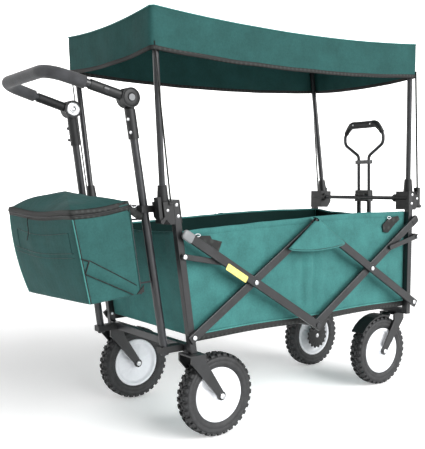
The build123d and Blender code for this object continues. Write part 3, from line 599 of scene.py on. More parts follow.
class WAGON_OT_canopy(bpy.types.Operator):
    """Make the canopy: one sewn sheet with a skirt, its bound hem and the straps that hold it down"""
    bl_idname = "wagon.canopy"
    bl_label = "Canopy"

    def execute(self, context):
        fabric = context.scene.wagon_fabric
        sag = fabric.canopy_sag
        skirt = CANOPY_HIGH.z - CANOPY_LOW.z
        centre = (CANOPY_LOW + CANOPY_HIGH) / 2
        rim = canopy_outline(1.5 * MM)
        rows = []
        for share in (0.02, 0.1, 0.2, 0.3, 0.4, 0.5, 0.6, 0.7, 0.8, 0.88, 0.94, 0.98, 0.994):
            rows.append([canopy_point(mix(centre.x, x, share), mix(centre.y, y, share), 0, sag)
                         for x, y in rim])
        rows.append([canopy_point(x, y, 1.2 * MM, sag) for x, y in rim])
        for k in range(1, 13):
            rows.append([canopy_point(x, y, skirt * k / 12, sag) for x, y in rim])
        sheet = piece("canopy_sheet", *capped_grid(rows, first=True), "canopy_oxford_polyester", "canopy",
                      "green_canvas", solid=fabric.cloth, divide=1, stands_for=("canopy_cover",))
        hem_wide = fabric.hem_width
        hem_rows = [[canopy_point(x, y, skirt - hem_wide + d, sag, away) for x, y in rim]
                    for d, away in ((0, 0.2 * MM), (1 * MM, 1.6 * MM), (hem_wide / 2, 2.0 * MM),
                                    (hem_wide - 1 * MM, 1.6 * MM), (hem_wide + 1 * MM, 0),
                                    (hem_wide - 1 * MM, -1.6 * MM), (1 * MM, -1.6 * MM))]
        hem = piece("canopy_hem_binding", *grid(hem_rows, closed=True), "binding_polyester", "canopy")
        seam_path = [canopy_point(x, y, 1 * MM, sag, 1.2 * MM) for x, y in rim]
        seam = piece("canopy_roof_seam", *swept(seam_path, round_outline(1.5 * MM, 6), closed=True),
                     "piping_polyester", "canopy", "green_canvas")
        for part in (sheet, hem, seam):
            squash_in(part)
        self.straps()
        return {"FINISHED"}

    def straps(self):
        """Elastic straps from the canopy's corners down to the corner brackets."""
        for end in ("push", "pull"):
            out = -1 if end == "push" else 1
            bracket_low, bracket_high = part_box(f"{end}_corner_brackets")
            corner_x = (CANOPY_LOW.x if end == "push" else CANOPY_HIGH.x) - out * 9 * MM
            foot_x = (bracket_low.x + 30 * MM) if end == "push" else (bracket_high.x - 24 * MM)
            for word, side in NEAR_FAR.items():
                top = Vector((corner_x, side * (CANOPY_HIGH.y - 3 * MM), CANOPY_LOW.z + 20 * MM))
                foot = Vector((foot_x, side * (bracket_high.y + 2 * MM), bracket_low.z + 58 * MM))
                path = [top.lerp(foot, t / 8) for t in range(9)]
                name = f"{end}_{word}_canopy_strap"
                strap = piece(name, *swept(path, flat_outline(7 * MM, 1.6 * MM)), "webbing_polypropylene",
                              f"{end}_end")
                piece(f"{name}_loop", *block(foot - Vector((5 * MM, 2 * MM, 6 * MM)),
                                             foot + Vector((5 * MM, 2 * MM, 5 * MM))),
                      "moulded_black_polypropylene", f"{end}_end", smooth=False, bevel=1.2 * MM)


# ------------------------------------------------------------------ basket
# Height of the basket's top edge over its usual line, mm, at even steps along each wall
TOP_LINE = {"near": (-17, -12, -9, -4, -1, 3, 5, 6, 4, 3), "far": (3, 4, 6, 5, 3, -1, -4, -9, -12, -17),
            "pull": (3, -6, -10, -6, 3), "push": (-17, -22, -24, -22, -17)}


def basket_end_x(end, z):
    """The basket's end walls lean with the posts."""
    up = LINER_HIGH.z - z
    return LINER_LOW.x + up * math.tan(math.radians(7)) if end == "push" else \
        LINER_HIGH.x - up * math.tan(math.radians(2))


def basket_point(side, t, h, out=0.0, depth=5 * MM):
    """A place on a basket wall: t along it from the near push corner round, h from its top edge down."""
    top = LINER_HIGH.z + along_corners(TOP_LINE[side], t) * MM
    low = LINER_LOW.z + 5 * MM
    z = mix(top, low, h)
    x0, x1 = basket_end_x("push", z), basket_end_x("pull", z)
    y1 = LINER_HIGH.y
    belly = math.sin(math.pi * min(1, h)) if h < 1 else 0
    if side in ("near", "far"):
        s = t if side == "near" else 1 - t
        x = mix(x0, x1, s)
        face = -1 if side == "near" else 1
        ends = min(1, 7 * s, 7 * (1 - s))
        slack = belly * 6 * MM * ends
        slack -= (1 - h) ** 2 * 9 * MM * math.sin(TURN * s) ** 2
        folds = math.cos(TURN * (x - MIDDLE_X + 6 * MM) / (52 * MM) + 0.5 * math.sin(z * 40))
        folds += 0.35 * math.cos(TURN * x / (23 * MM))
        in_folds = max(0.0, 1 - abs(x - MIDDLE_X + 4 * MM) / (95 * MM))
        in_folds *= min(1, max(0, h - 0.2) * 5) * min(1, (1 - h) * 5)
        slack += depth * folds * in_folds
        pull_line = math.sin((abs(x - MIDDLE_X) * 0.55 + z) / (13 * MM))
        slack += 1.6 * MM * pull_line * ends * belly * max(0, abs(2 * s - 1) - 0.15)
        slack += crumple(x, z, side == "near", 0.11, 7 * MM) * ends * min(1, 4 * h + 0.3, (1 - h) * 6)
        return Vector((x, face * (y1 + slack + out), z))
    s = t if side == "pull" else 1 - t
    x = x1 if side == "pull" else x0
    face = 1 if side == "pull" else -1
    y = mix(LINER_LOW.y, y1, s)
    ends = min(1, 5 * s, 5 * (1 - s))
    slack = -belly * 7 * MM * ends - (1 - h) ** 2 * 8 * MM * ends
    slack += crumple(y, z, x, 0.1, 6 * MM) * ends * belly
    return Vector((x + face * (slack + out), y, z))


def all_round(point, near_far_steps, end_steps):
    """point(side, share) all the way round the four walls."""
    sides = (("near", near_far_steps), ("pull", end_steps), ("far", near_far_steps), ("push", end_steps))
    return [point(side, i / steps) for side, steps in sides for i in range(steps)]


def basket_loop(h, out=0.0, depth=5 * MM):
    return all_round(lambda side, t: basket_point(side, t, h, out, depth), 110, 44)


def basket_strip(name, side, t0, t1, h_rows, look, slot=None, steps=90, solid=0.0):
    """A strip of cloth that follows a basket wall; h_rows gives (height share, stand-off)."""
    rows = [[basket_point(side, mix(t0, t1, i / steps), h, out) for i in range(steps + 1)]
            for h, out in h_rows]
    made = piece(name, *grid(rows), look, "push_end", slot, solid=solid)
    return squash_basket(made)


class WAGON_OT_basket(bpy.types.Operator):
    """Make the basket: the sewn tub, its hems, base band, bar pockets, corner patches and floor mat"""
    bl_idname = "wagon.basket"
    bl_label = "Basket"

    def execute(self, context):
        fabric = context.scene.wagon_fabric
        depth = fabric.fold_depth
        rows = [basket_loop(k / 26, depth=depth) for k in range(27)]
        centre = Vector((MIDDLE_X, 0, LINER_LOW.z + 2.2 * MM))
        base = rows[-1]
        for share in (0.99, 0.9, 0.7, 0.45, 0.2, 0.04):
            rows.append([Vector((mix(centre.x, p.x, share), mix(centre.y, p.y, share), centre.z))
                         for p in base])
        tub = piece("basket_tub", *capped_grid(rows, last=True), "basket_oxford_polyester", "push_end",
                    "green_canvas", solid=fabric.cloth, stands_for=("basket_liner",))
        squash_basket(tub)
        lining = [basket_loop(0.012 + 0.95 * k / 26, -1.4 * MM, depth) for k in range(27)]
        inner = squash_basket(piece("basket_lining", *grid(lining, closed=True), "lining_oxford_polyester",
                                    "push_end", "green_canvas"))
        for word in ("near", "far"):
            basket_strip(f"basket_{word}_hem", word, 0.004, 0.996,
                                      ((-0.004, 0), (-0.002, 1.6 * MM), (0.02, 1.9 * MM),
                                       (0.052, 1.7 * MM), (0.056, 0.6 * MM)),
                                      "basket_oxford_polyester", "green_canvas")
            self.base_band(word)
            self.base_piping(word)
        for word in ("pull", "push"):
            basket_strip(f"basket_{word}_hem", word, 0.01, 0.99,
                                      ((-0.004, 0), (-0.002, 1.4 * MM), (0.03, 1.6 * MM), (0.056, 0.4 * MM)),
                                      "basket_oxford_polyester", "green_canvas", steps=40)
        for word, side in NEAR_FAR.items():
            self.bar_pocket(word, side)
            self.corner_patches(word, side)
        self.floor_mat()
        return {"FINISHED"}

    def base_band(self, word):
        """Black vinyl-backed band sewn round the foot of each long wall."""
        side, steps = NEAR_FAR[word], 90
        rows = []
        for down, out in ((0, 1), (1, 3), (8, 3.6), (16, 3), (19, 1), (17, -1)):
            row = []
            for i in range(steps + 1):
                t = i / steps
                p = basket_point("near", t, 1.0)
                arch = 3.5 * MM * math.sin(TURN * t) ** 2
                row.append(Vector((p.x, side * (LINER_HIGH.y + out * MM),
                                   LINER_LOW.z + 5 * MM - down * MM + arch)))
            rows.append(row)
        return squash_basket(piece(f"basket_{word}_base_band", *grid(rows), "binding_polyester", "push_end"))

    def base_piping(self, word):
        """A piped cord along the band's upper edge."""
        side, steps = NEAR_FAR[word], 60
        path = []
        for i in range(steps + 1):
            arch = 3.5 * math.sin(TURN * i / steps) ** 2
            path.append((basket_point("near", i / steps, 1.0).x, side * (LINER_HIGH.y + 3 * MM),
                         LINER_LOW.z + (6.5 + arch) * MM))
        return squash_basket(piece(f"basket_{word}_base_piping", *swept(path, round_outline(2 * MM, 8)),
                                   "piping_polyester", "push_end", "green_canvas"))

    def bar_pocket(self, word, side):
        """A sewn hood of fabric that covers the tops of the two rising bars where they meet."""
        apex = Vector((MIDDLE_X - 4 * MM, 0, LINER_HIGH.z - 4 * MM))
        left = Vector((MIDDLE_X - 116 * MM, 0, LINER_HIGH.z - 86 * MM))
        right = Vector((MIDDLE_X + 112 * MM, 0, LINER_HIGH.z - 84 * MM))
        face = BAR_OUTSIDE + 4.5 * MM
        rows, across, down = [], 26, 16
        for r in range(down + 1):
            b = r / down
            row = []
            for c in range(across + 1):
                a = c / across
                low = left.lerp(right, a)
                low.z -= 11 * MM * math.sin(math.pi * a) ** 0.7
                p = apex.lerp(low, 0.04 + 0.96 * b)
                y = face + 2.2 * MM * math.sin(math.pi * a) * b + crumple(p.x, p.z, side, 0.05, 3 * MM) * b
                row.append(Vector((p.x, side * y, p.z)))
            first = row[0] + Vector((-2 * MM, 0, 3 * MM))
            first.y = side * (face - 5 * MM)
            row.insert(0, first)
            for lift, back in ((4, 2), (8, 8), (11, 22), (12, 38)):
                edge = apex.lerp(right, 0.04 + 0.96 * b) + Vector((0.55 * lift * MM, 0, lift * MM))
                edge.y = side * (face - back * MM)
                row.append(edge)
            rows.append(row)
        hem = [p + Vector((0, -side * 2 * MM, 3 * MM)) for p in rows[-1]]
        rows.append([p + Vector((0, -side * 0.5 * MM, -1.2 * MM)) for p in rows[-1]])
        rows.append(hem)
        pocket = piece(f"basket_{word}_bar_pocket", *grid(rows), "basket_oxford_polyester", "push_end",
                       "green_canvas", solid=1 * MM, divide=1)
        squash_basket(pocket)
        stitch = [p + Vector((0, side * 0.9 * MM, 4 * MM)) for p in rows[-3][1:across + 1]]
        seam = squash_basket(piece(f"basket_{word}_pocket_seam", *swept(stitch, round_outline(0.9 * MM, 6)),
                                   "seam_oxford_polyester", "push_end", "green_canvas"))

    def corner_patches(self, word, side):
        """Mesh webbing patches that reinforce the tub's upper corners behind the bars."""
        shapes = {
            "push": ((-276, 565), (-261, 558), (-219, 556), (-214, 546), (-179, 537), (-192, 508),
                     (-215, 516), (-248, 540)),
            "pull": ((486, 552), (517, 573), (563, 578), (571, 566), (548, 552), (512, 524), (489, 528)),
        }
        for end, outline in shapes.items():
            layers = [[Vector((x * MM, side * (LINER_HIGH.y + (layer + 3.5) * MM), z * MM))
                       for x, z in outline] for layer in (1.0, 3.2)]
            squash_basket(piece(f"basket_{end}_{word}_patch", *slab(*layers), "webbing_polypropylene",
                                "push_end", smooth=False))
            anchor = Vector((outline[1][0] * MM, side * (LINER_HIGH.y + 7 * MM), outline[1][1] * MM + 1 * MM))
            tie = swept(around(anchor, 9 * MM, 4 * MM, 10), round_outline(1 * MM, 6), closed=True)
            squash_basket(piece(f"basket_{end}_{word}_tie", *tie, "moulded_white_polypropylene", "push_end"))

    def floor_mat(self):
        """The stiff floor: four covered panels joined by sewn creases."""
        lo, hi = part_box("floor_board")
        long_steps, short_steps, panels = 96, 40, 4
        rows = []
        for i in range(long_steps + 1):
            u = i / long_steps
            in_panel = (u * panels) % 1 if 0 < i < long_steps else 0
            row = []
            for j in range(short_steps + 1):
                v = j / short_steps
                rim = min(1, 40 * min(v, 1 - v)) * min(1, 40 * min(in_panel, 1 - in_panel))
                z = mix(lo.z + 1.5 * MM, hi.z, rim ** 0.4) + crumple(u, v, 0, 0.2, 0.8 * MM)
                row.append(Vector((mix(lo.x, hi.x, u), mix(lo.y, hi.y, v), z)))
            rows.append(row)
        under = [[Vector((p.x, p.y, lo.z + 0.4 * MM)) for p in row] for row in rows]
        verts, faces = grid(rows)
        base = len(verts)
        verts += [p for row in under for p in row]
        n = short_steps + 1
        faces += [tuple(base + i for i in face[::-1]) for face in rows_to_faces(len(rows), n, False)]
        edge = list(range(n)) + [r * n + n - 1 for r in range(1, len(rows))]
        edge += [(len(rows) - 1) * n + i for i in range(n - 2, -1, -1)]
        edge += [r * n for r in range(len(rows) - 2, 0, -1)]
        faces += [(edge[(k + 1) % len(edge)], edge[k], base + edge[k], base + edge[(k + 1) % len(edge)])
                  for k in range(len(edge))]
        squash_basket(piece("floor_mat", verts, faces, "lining_oxford_polyester", "push_end", "floor_mat",
                            stands_for=("floor_board",)))


# ------------------------------------------------------------------ rear bag
BAG_WALLS = {"outer": (-618, -573), "inner": (-458, -426)}     # wall x at the top and at the bottom, mm


def bag_point(side, t, v, out=0.0):
    """A place on the bag's wall, v from its top down; its pull side faces the wagon, its push side out."""
    half = BAG_HIGH.y - 3 * MM
    s = t if side in ("near", "pull") else 1 - t
    far = {"near": 0.0, "far": 1.0}.get(side, s)
    down = max(0.0, v)
    x_in = mix(*BAG_WALLS["inner"], v) * MM
    x_out = mix(*BAG_WALLS["outer"], mix(down, down ** 2.2, far)) * MM - 9 * MM * far * (1 - down)
    low_out, low_in = BAG_LOW.z, BAG_LOW.z + 12 * MM
    belly = math.sin(math.pi * max(0, min(1, v)))
    if side in ("near", "far"):
        x, across = mix(x_out, x_in, s), s
        y = (-1 if side == "near" else 1)
        slack = (3.5 * MM + crumple(x, v * 0.3, y, 0.07, 5 * MM)) * belly * math.sin(math.pi * s)
        gather = math.sin(x / (4.2 * MM)) * max(0, 1 - abs(v - 0.16) / 0.13) * bump_between(s, 0.05, 0.75)
        slack += 1.8 * MM * gather
        p = Vector((x, y * (half + slack + out), 0))
    else:
        x, across = (x_in, 1.0) if side == "pull" else (x_out, 0.0)
        y = mix(-half, half, s)
        face = 1 if side == "pull" else -1
        slack = (9 if side == "push" else -4) * MM * belly ** 0.8 * math.sin(math.pi * s) ** 0.7
        slack += crumple(y, v * 0.3, face, 0.1, 5 * MM) * belly * math.sin(math.pi * s)
        p = Vector((x + face * (slack + out), y, 0))
    dip = 9 * MM * math.sin(math.pi * s) ** 2 if side == "push" else 0
    top = mix(632 * MM, 652 * MM, across) - dip - 5 * MM * (side == "near") * math.sin(math.pi * s)
    p.z = mix(top, mix(low_out, low_in, across), v) - 15 * MM * far * (1 - across) * down ** 2
    return p


def bag_loop(v, out=0.0):
    return all_round(lambda side, t: bag_point(side, t, v, out), 28, 56)


def bag_corner(word, inner, v, out=0.0):
    """A place on the bag's upright edge: inner is 1 at the wagon and 0 outside."""
    return bag_point(word, inner if word == "near" else 1.0 - inner, v, out)


class WAGON_OT_bag(bpy.types.Operator):
    """Make the rear bag: its sagging shell, zipped domed lid, piped seams, pocket and hanging straps"""
    bl_idname = "wagon.bag"
    bl_label = "Rear Bag"

    def execute(self, context):
        fabric = context.scene.wagon_fabric
        rows = [bag_loop(v) for v in [k / 20 for k in range(20)] + [0.985]]
        base = bag_loop(1.0, out=-3 * MM)
        rows.append(base)
        middle = sum(base, Vector()) / len(base)
        for share in (0.93, 0.75, 0.5, 0.25, 0.05):
            sag = 5 * MM * (1 - share ** 2)
            rows.append([p.lerp(middle, 1 - share) + upwards(crumple(p.x, p.y, share, 0.06, 3 * MM) - sag)
                         for p in base])
        shell = piece("bag_shell", *capped_grid(rows, last=True), "bag_oxford_polyester", "push_end",
                      "green_canvas", solid=fabric.cloth, divide=1, stands_for=("storage_bag",))
        trims = []
        band = [bag_loop(v, out * MM) for v, out in
                ((-0.012, 0.2), (-0.01, 1.8), (0.02, 2.6), (0.05, 2.4), (0.068, 1.8), (0.07, 0.2))]
        trims.append(piece("bag_zip_band", *grid(band, closed=True), "binding_polyester", "push_end"))
        zip_path = bag_loop(0.03, out=2.6 * MM)
        trims.append(piece("bag_zip_coil", *swept(zip_path, round_outline(1.7 * MM, 6), closed=True),
                           "moulded_black_polypropylene", "push_end"))
        trims += self.seams()
        self.lid(fabric)
        self.straps()
        return {"FINISHED"}

    def seam(self, name, points, radius, look):
        """A sewn cord; its radius is in millimetres."""
        return piece(name, *swept(points, round_outline(radius * MM, 6)), look, "push_end")

    def seams(self):
        """Piped edges, the strip sewn across each side and the pocket's seams on the outer face."""
        made = []
        for word, side in NEAR_FAR.items():
            outer, inner = ([bag_corner(word, edge, 0.07 + 0.92 * k / 24, 0.5 * MM) for k in range(25)]
                            for edge in (0.0, 1.0))
            made.append(self.seam(f"bag_{word}_outer_piping", outer, 2.0, "piping_polyester"))
            # a black cord beside the outer piping, as a painted shadow along the edge
            shadow = [p + Vector((3.2 * MM, side * 0.8 * MM, 0)) for p in outer]
            made.append(self.seam(f"bag_{word}_outer_painted_shadow_cord", shadow, 1.6, "binding_polyester"))
            made.append(self.seam(f"bag_{word}_inner_piping", inner, 1.6, "seam_oxford_polyester"))

            def at(u, v, out):
                return bag_point(word, u if word == "near" else 1 - u, v, out * MM)
            upper, lower = ((0.14, 0.52), (0.93, 0.89)), ((0.02, 0.66), (0.84, 0.985))

            def across(axis, a, t):
                return mix(mix(upper[0][axis], upper[1][axis], t), mix(lower[0][axis], lower[1][axis], t), a)
            rows = [[at(across(0, a, k / 24), across(1, a, k / 24), out) for k in range(25)]
                    for a, out in ((0.0, 0.6), (0.06, 2.6), (0.5, 3.4), (0.94, 2.6), (1.0, 0.6))]
            made.append(piece(f"bag_{word}_side_strip", *grid(rows), "bag_oxford_polyester", "push_end",
                              "green_canvas"))
            for label, ((u0, v0), (u1, v1)) in (("upper", upper), ("lower", lower)):
                path = [at(mix(u0, u1, k / 20), mix(v0, v1, k / 20), 2.4) for k in range(21)]
                made.append(self.seam(f"bag_{word}_strip_{label}_edge", path, 1.3, "binding_polyester"))
            for label, u0, u1, v0, v1 in (("end", 0.14, 0.02, 0.52, 0.66), ("tail", 0.0, 0.14, 0.49, 0.53)):
                path = [at(mix(u0, u1, k / 6), mix(v0, v1, k / 6), 2.8) for k in range(7)]
                made.append(self.seam(f"bag_{word}_strip_{label}", path, 1.8, "binding_polyester"))
        for label, v, w0, w1, radius in (("pocket_top", 0.22, 0.08, 0.86, 1.0),
                                         ("pocket_fold", 0.44, 0.06, 0.95, 1.2),
                                         ("pocket_low", 0.49, 0.06, 0.95, 1.0)):
            path = [bag_point("push", mix(1 - w1, 1 - w0, k / 40), v + 0.02 * math.sin(k / 40 * math.pi),
                              0.7 * MM) for k in range(41)]
            made.append(self.seam(f"bag_{label}_seam", path, radius, "seam_oxford_polyester"))
        for label, w in (("near", 0.87), ("far", 0.08)):
            path = [bag_point("push", 1 - w, v, 0.7 * MM) for v in [0.22 + 0.24 * k / 12 for k in range(13)]]
            made.append(self.seam(f"bag_pocket_{label}_seam", path, 1.2, "seam_oxford_polyester"))
        return made

    def lid(self, fabric):
        """The lid's cloth domes up from the zip and dents along its middle."""
        rim = bag_loop(-0.012, out=0.4 * MM)
        middle = sum(rim, Vector()) / len(rim)
        rows = [[p + upwards(-4 * MM) for p in bag_loop(0.0, out=3 * MM)], rim]
        for share in (0.97, 0.9, 0.8, 0.68, 0.54, 0.4, 0.26, 0.12, 0.03):
            row = []
            for p in rim:
                q = p.lerp(middle, 1 - share)
                along = (q.y - middle.y) / BAG_HIGH.y
                dome = 34 * MM * (1 - share ** 2.2) * (1 + 0.35 * along)
                dent = 9 * MM * math.exp(-((along + 0.35) / 0.18) ** 2) * (1 - share)
                row.append(q + upwards(dome - dent + crumple(q.x, q.y, 0.2, 0.07, 7 * MM) * (1 - share)))
            rows.append(row)
        lid = piece("bag_lid_cloth", *capped_grid(rows, last=True), "bag_oxford_polyester", "bag_lid",
                    "green_canvas", solid=fabric.cloth, divide=1, stands_for=("bag_lid",))
        cord = swept([p + upwards(2 * MM) for p in rim], round_outline(1.6 * MM, 6), closed=True)
        piping = piece("bag_lid_piping", *cord, "binding_polyester", "bag_lid")
        band = []
        for lift, out in ((-5, 3.4), (-5, 4.8), (-1, 5.0), (5, 3.2), (8, 1.6), (8, -0.5)):
            loop = [p + upwards(lift * MM) for p in bag_loop(0.0, out=out * MM)]
            band.append(loop[len(loop) // 2:] + loop[:24])      # far, outer and near sides; none at the hinge
        piece("bag_lid_binding", *grid(band), "binding_polyester", "bag_lid")
        start = bag_point("push", 0.36, 0.05, 4 * MM)
        path = [start + Vector((-dx * MM, dy * MM, -dz * MM)) for dx, dy, dz in
                ((0, 0, 0), (3, -2, 9), (5, -9, 20), (5, -13, 32), (4, -9, 44), (3, 0, 54), (2, 6, 62))]
        piece("bag_zip_puller", *swept(path, round_outline(1.3 * MM, 8)), "binding_polyester", "push_end")

    def straps(self):
        """Webbing loops and wire rings that hang the bag from the push tubes."""
        for word, side in NEAR_FAR.items():
            corner = bag_corner(word, 1.0, 0.03)
            tube = Vector((corner.x + 62 * MM, side * 184 * MM, corner.z - 14 * MM))
            a = corner + Vector((0, 0, -2 * MM))
            path = [a, a.lerp(tube, 0.3) + Vector((0, side * 3 * MM, -14 * MM)),
                    a.lerp(tube, 0.6) + Vector((0, side * 2 * MM, -20 * MM)),
                    tube + Vector((-10 * MM, 0, -14 * MM))]
            strap = piece(f"bag_{word}_hanging_strap", *swept(path, flat_outline(22 * MM, 2 * MM)),
                          "webbing_polypropylene", "push_end")
            centre = a + Vector((16 * MM, 0, 10 * MM))
            ring = swept(around(centre, 11 * MM, 12 * MM, 20), round_outline(1 * MM, 8), closed=True)
            piece(f"bag_{word}_wire_ring", *ring, "zinc_plated_steel", "push_end")
            low = bag_corner(word, 1.0, 0.96)
            verts = [low + Vector((x, side * y, z)) * MM
                     for y in (1, 4) for x, z in ((-12, -8), (9, -4), (9, 14))]
            faces = [(0, 1, 2), (5, 4, 3), (0, 3, 4, 1), (1, 4, 5, 2), (2, 5, 3, 0)]
            piece(f"bag_{word}_corner_guard", verts, faces, "webbing_polypropylene", "push_end", smooth=False)


# ------------------------------------------------------------------ wheels
CORNERS = [(end, word) for end in ("push", "pull") for word in ("near", "far")]


class WAGON_OT_wheels(bpy.types.Operator):
    """Make the four wheels with knobbly tyres, the brake discs and the caster fittings"""
    bl_idname = "wagon.wheels"
    bl_label = "Wheels"

    def execute(self, context):
        settings = context.scene.wagon_wheels
        for end, word in CORNERS:
            name = f"{end}_{word}"
            low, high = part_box(f"{name}_tyre")
            centre, radius, half = (low + high) / 2, (high.z - low.z) / 2, (high.y - low.y) / 2
            self.tyre(name, centre, radius, half, settings)
            self.wheel(name, centre, settings)
            self.fork_fittings(name, centre, NEAR_FAR[word])
            if end == "pull":
                self.brake_disc(name, centre, -NEAR_FAR[word])
        return {"FINISHED"}

    def tyre(self, name, centre, radius, half, settings):
        """A carcass with two rows of blocks on its shoulders and two round its crown."""
        seat = 76 * MM
        high = settings.block_height
        crown = radius - high
        side = [(seat - 1.5 * MM, 0.60), (seat, 0.72), (seat + 3 * MM, 0.80), (seat + 8 * MM, 0.93),
                (seat + 15 * MM, 0.985), (seat + 17 * MM, 0.94), (seat + 19 * MM, 0.945),
                (seat + 22 * MM, 0.985), (seat + 29 * MM, 0.985), (crown - 5 * MM, 0.93),
                (crown - 1.5 * MM, 0.78), (crown, 0.5)]
        profile = [(r, y * half) for r, y in side] + [(crown + 0.6 * MM, 0)]
        profile += [(r, -y * half) for r, y in side[::-1]]
        carcass = turned(profile, 120, centre)
        blocks = []
        count = settings.tread_blocks
        for row, (y0, y1, turn_by, wide) in enumerate((
                (0.50, 0.985, 0.0, 0.64), (-0.985, -0.50, 0.5, 0.64),
                (0.05, 0.42, 0.25, 0.56), (-0.42, -0.05, 0.75, 0.56))):
            for k in range(count):
                blocks.append(self.block(centre, TURN * (k + turn_by) / count, TURN / count * wide,
                                         y0 * half, y1 * half, radius, high, row))
        verts, faces = joined(carcass, *blocks)
        made = piece(f"{name}_knobbly_tyre", verts, faces, "moulded_rubber", f"{name}_wheel", "tyre_rubber",
                     stands_for=(f"{name}_tyre",))
        for face in made.data.polygons[len(carcass[1]):]:
            face.use_smooth = False

    def block(self, centre, angle, wide, y0, y1, radius, high, row):
        """One tread block; rows 0 and 1 are narrower at the top and wrap down the sidewall."""
        def at(a, y, r):
            return Vector((centre.x + r * math.cos(a), centre.y + y, centre.z + r * math.sin(a)))
        shoulder = row < 2
        out, inner = (y0, y1) if row == 1 else (y1, y0)
        top, root = radius, radius - high - 2.5 * MM
        skew = wide * (0.25 if row % 2 else -0.25)
        a0, a1 = angle - wide / 2, angle + wide / 2
        b0, b1 = angle - wide * 0.4, angle + wide * 0.4
        if shoulder:
            ring = [(a0, a1, inner, root), (b0, b1, inner * 1.06, top), (b0, b1, out * 0.86, top - 2.2 * MM),
                    (b0, b1, out * 0.96, top - 6 * MM), (a0, a1, out * 0.93, top - 9 * MM),
                    (a0, a1, out * 0.7, root - 4 * MM)]
        else:
            ring = [(a0, a1, inner, root), (b0, b1, inner, top), (b0 + skew, b1 + skew, out, top),
                    (a0 + skew, a1 + skew, out, root)]
        n = len(ring)
        verts = [at(a, y, r) for a, _, y, r in ring] + [at(a, y, r) for _, a, y, r in ring]
        faces = [tuple(range(n)), tuple(range(n, 2 * n))[::-1]]
        faces += [(k, n + k, n + (k + 1) % n, (k + 1) % n) for k in range(n)]
        return verts, faces

    def wheel(self, name, centre, settings):
        """Moulded wheel: a rolled lip, a shallow dish of wedges and a bored hub."""
        low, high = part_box(f"{name}_wheel")
        rim, hub = 76.5 * MM, 15 * MM
        hub_half = (high.y - low.y) / 2 - 0.2 * MM
        side = [(4.4 * MM, hub_half), (hub - 1.5 * MM, hub_half), (hub, hub_half - 1.5 * MM),
                (hub + 1 * MM, 17 * MM), (hub + 5 * MM, 12.5 * MM), (27 * MM, 10.5 * MM), (44 * MM, 9 * MM),
                (58 * MM, 9.5 * MM), (64 * MM, 11 * MM), (67 * MM, 16 * MM), (69.5 * MM, 19.2 * MM),
                (73 * MM, 20 * MM), (rim, 18.6 * MM), (rim, 15 * MM)]
        profile = side + [(r, -y) for r, y in side[::-1]]
        wedges = settings.spokes

        def wedge(angle, radius, y):
            inside = bump_between(radius, 18 * MM, 66 * MM) ** 0.5
            phase = (angle * wedges / TURN) % 1
            ridge = abs(phase - 0.5) * 2
            return radius, y + math.copysign(4.2 * MM * inside * (ridge - 0.5), y)
        piece(f"{name}_moulded_wheel", *turned(profile, wedges * 16, centre, wedge),
              "moulded_white_polypropylene", f"{name}_wheel", "white_plastic", stands_for=(f"{name}_wheel",))

    def fork_fittings(self, name, centre, outward):
        """Domed nuts on the axle, one on each side of the fork."""
        low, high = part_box(f"{name}_axle_bolt")
        dome = [(7.4 * MM, -1.2 * MM), (7.4 * MM, 0.2 * MM), (6.0 * MM, 1.4 * MM), (3.2 * MM, 2.3 * MM),
                (0.6 * MM, 2.6 * MM)]
        for label, facing in (("outer", outward), ("inner", -outward)):
            y = (high.y if facing > 0 else low.y) - facing * 0.8 * MM
            piece(f"{name}_{label}_axle_cap", *turned_cap(dome, 20, (centre.x, y, centre.z), facing),
                  "zinc_plated_steel", f"{name}_caster", "zinc_fastener")

    def brake_disc(self, name, centre, facing):
        """Toothed disc that the pedal's pawl drops into."""
        low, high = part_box(f"{name}_axle_bolt")
        y = (high.y if facing > 0 else low.y) - facing * 1.5 * MM
        teeth, outer, root, thick = 16, 48 * MM, 42.5 * MM, 3 * MM
        ring = []
        for k in range(teeth * 4):
            r = outer if k % 4 in (1, 2) else root
            a = TURN * k / (teeth * 4)
            ring.append((r * math.cos(a), r * math.sin(a)))
        rows = [[Vector((centre.x + a * scale, y + facing * (depth - thick), centre.z + b * scale))
                 for a, b in ring]
                for scale, depth in ((0.2, 0.0), (0.45, 0.0), (0.8, -1.2 * MM), (1.0, 0.0), (1.0, thick),
                                     (0.8, thick + 1 * MM), (0.45, thick + 3 * MM), (0.2, thick + 3 * MM))]
        piece(f"{name}_brake_disc", *looped_grid(rows), "moulded_black_polypropylene", f"{name}_wheel",
              "black_plastic", smooth=False)


# ------------------------------------------------------------------ fittings
def dome_at(x, y, z, facing, radius):
    """A rivet's head that stands 2.1 mm proud."""
    profile = [(radius, -0.5 * MM), (radius, 0.3 * MM), (radius * 0.82, 1.3 * MM), (radius * 0.5, 1.9 * MM),
               (radius * 0.1, 2.1 * MM)]
    return turned_cap(profile, 16, (x, y, z), facing)


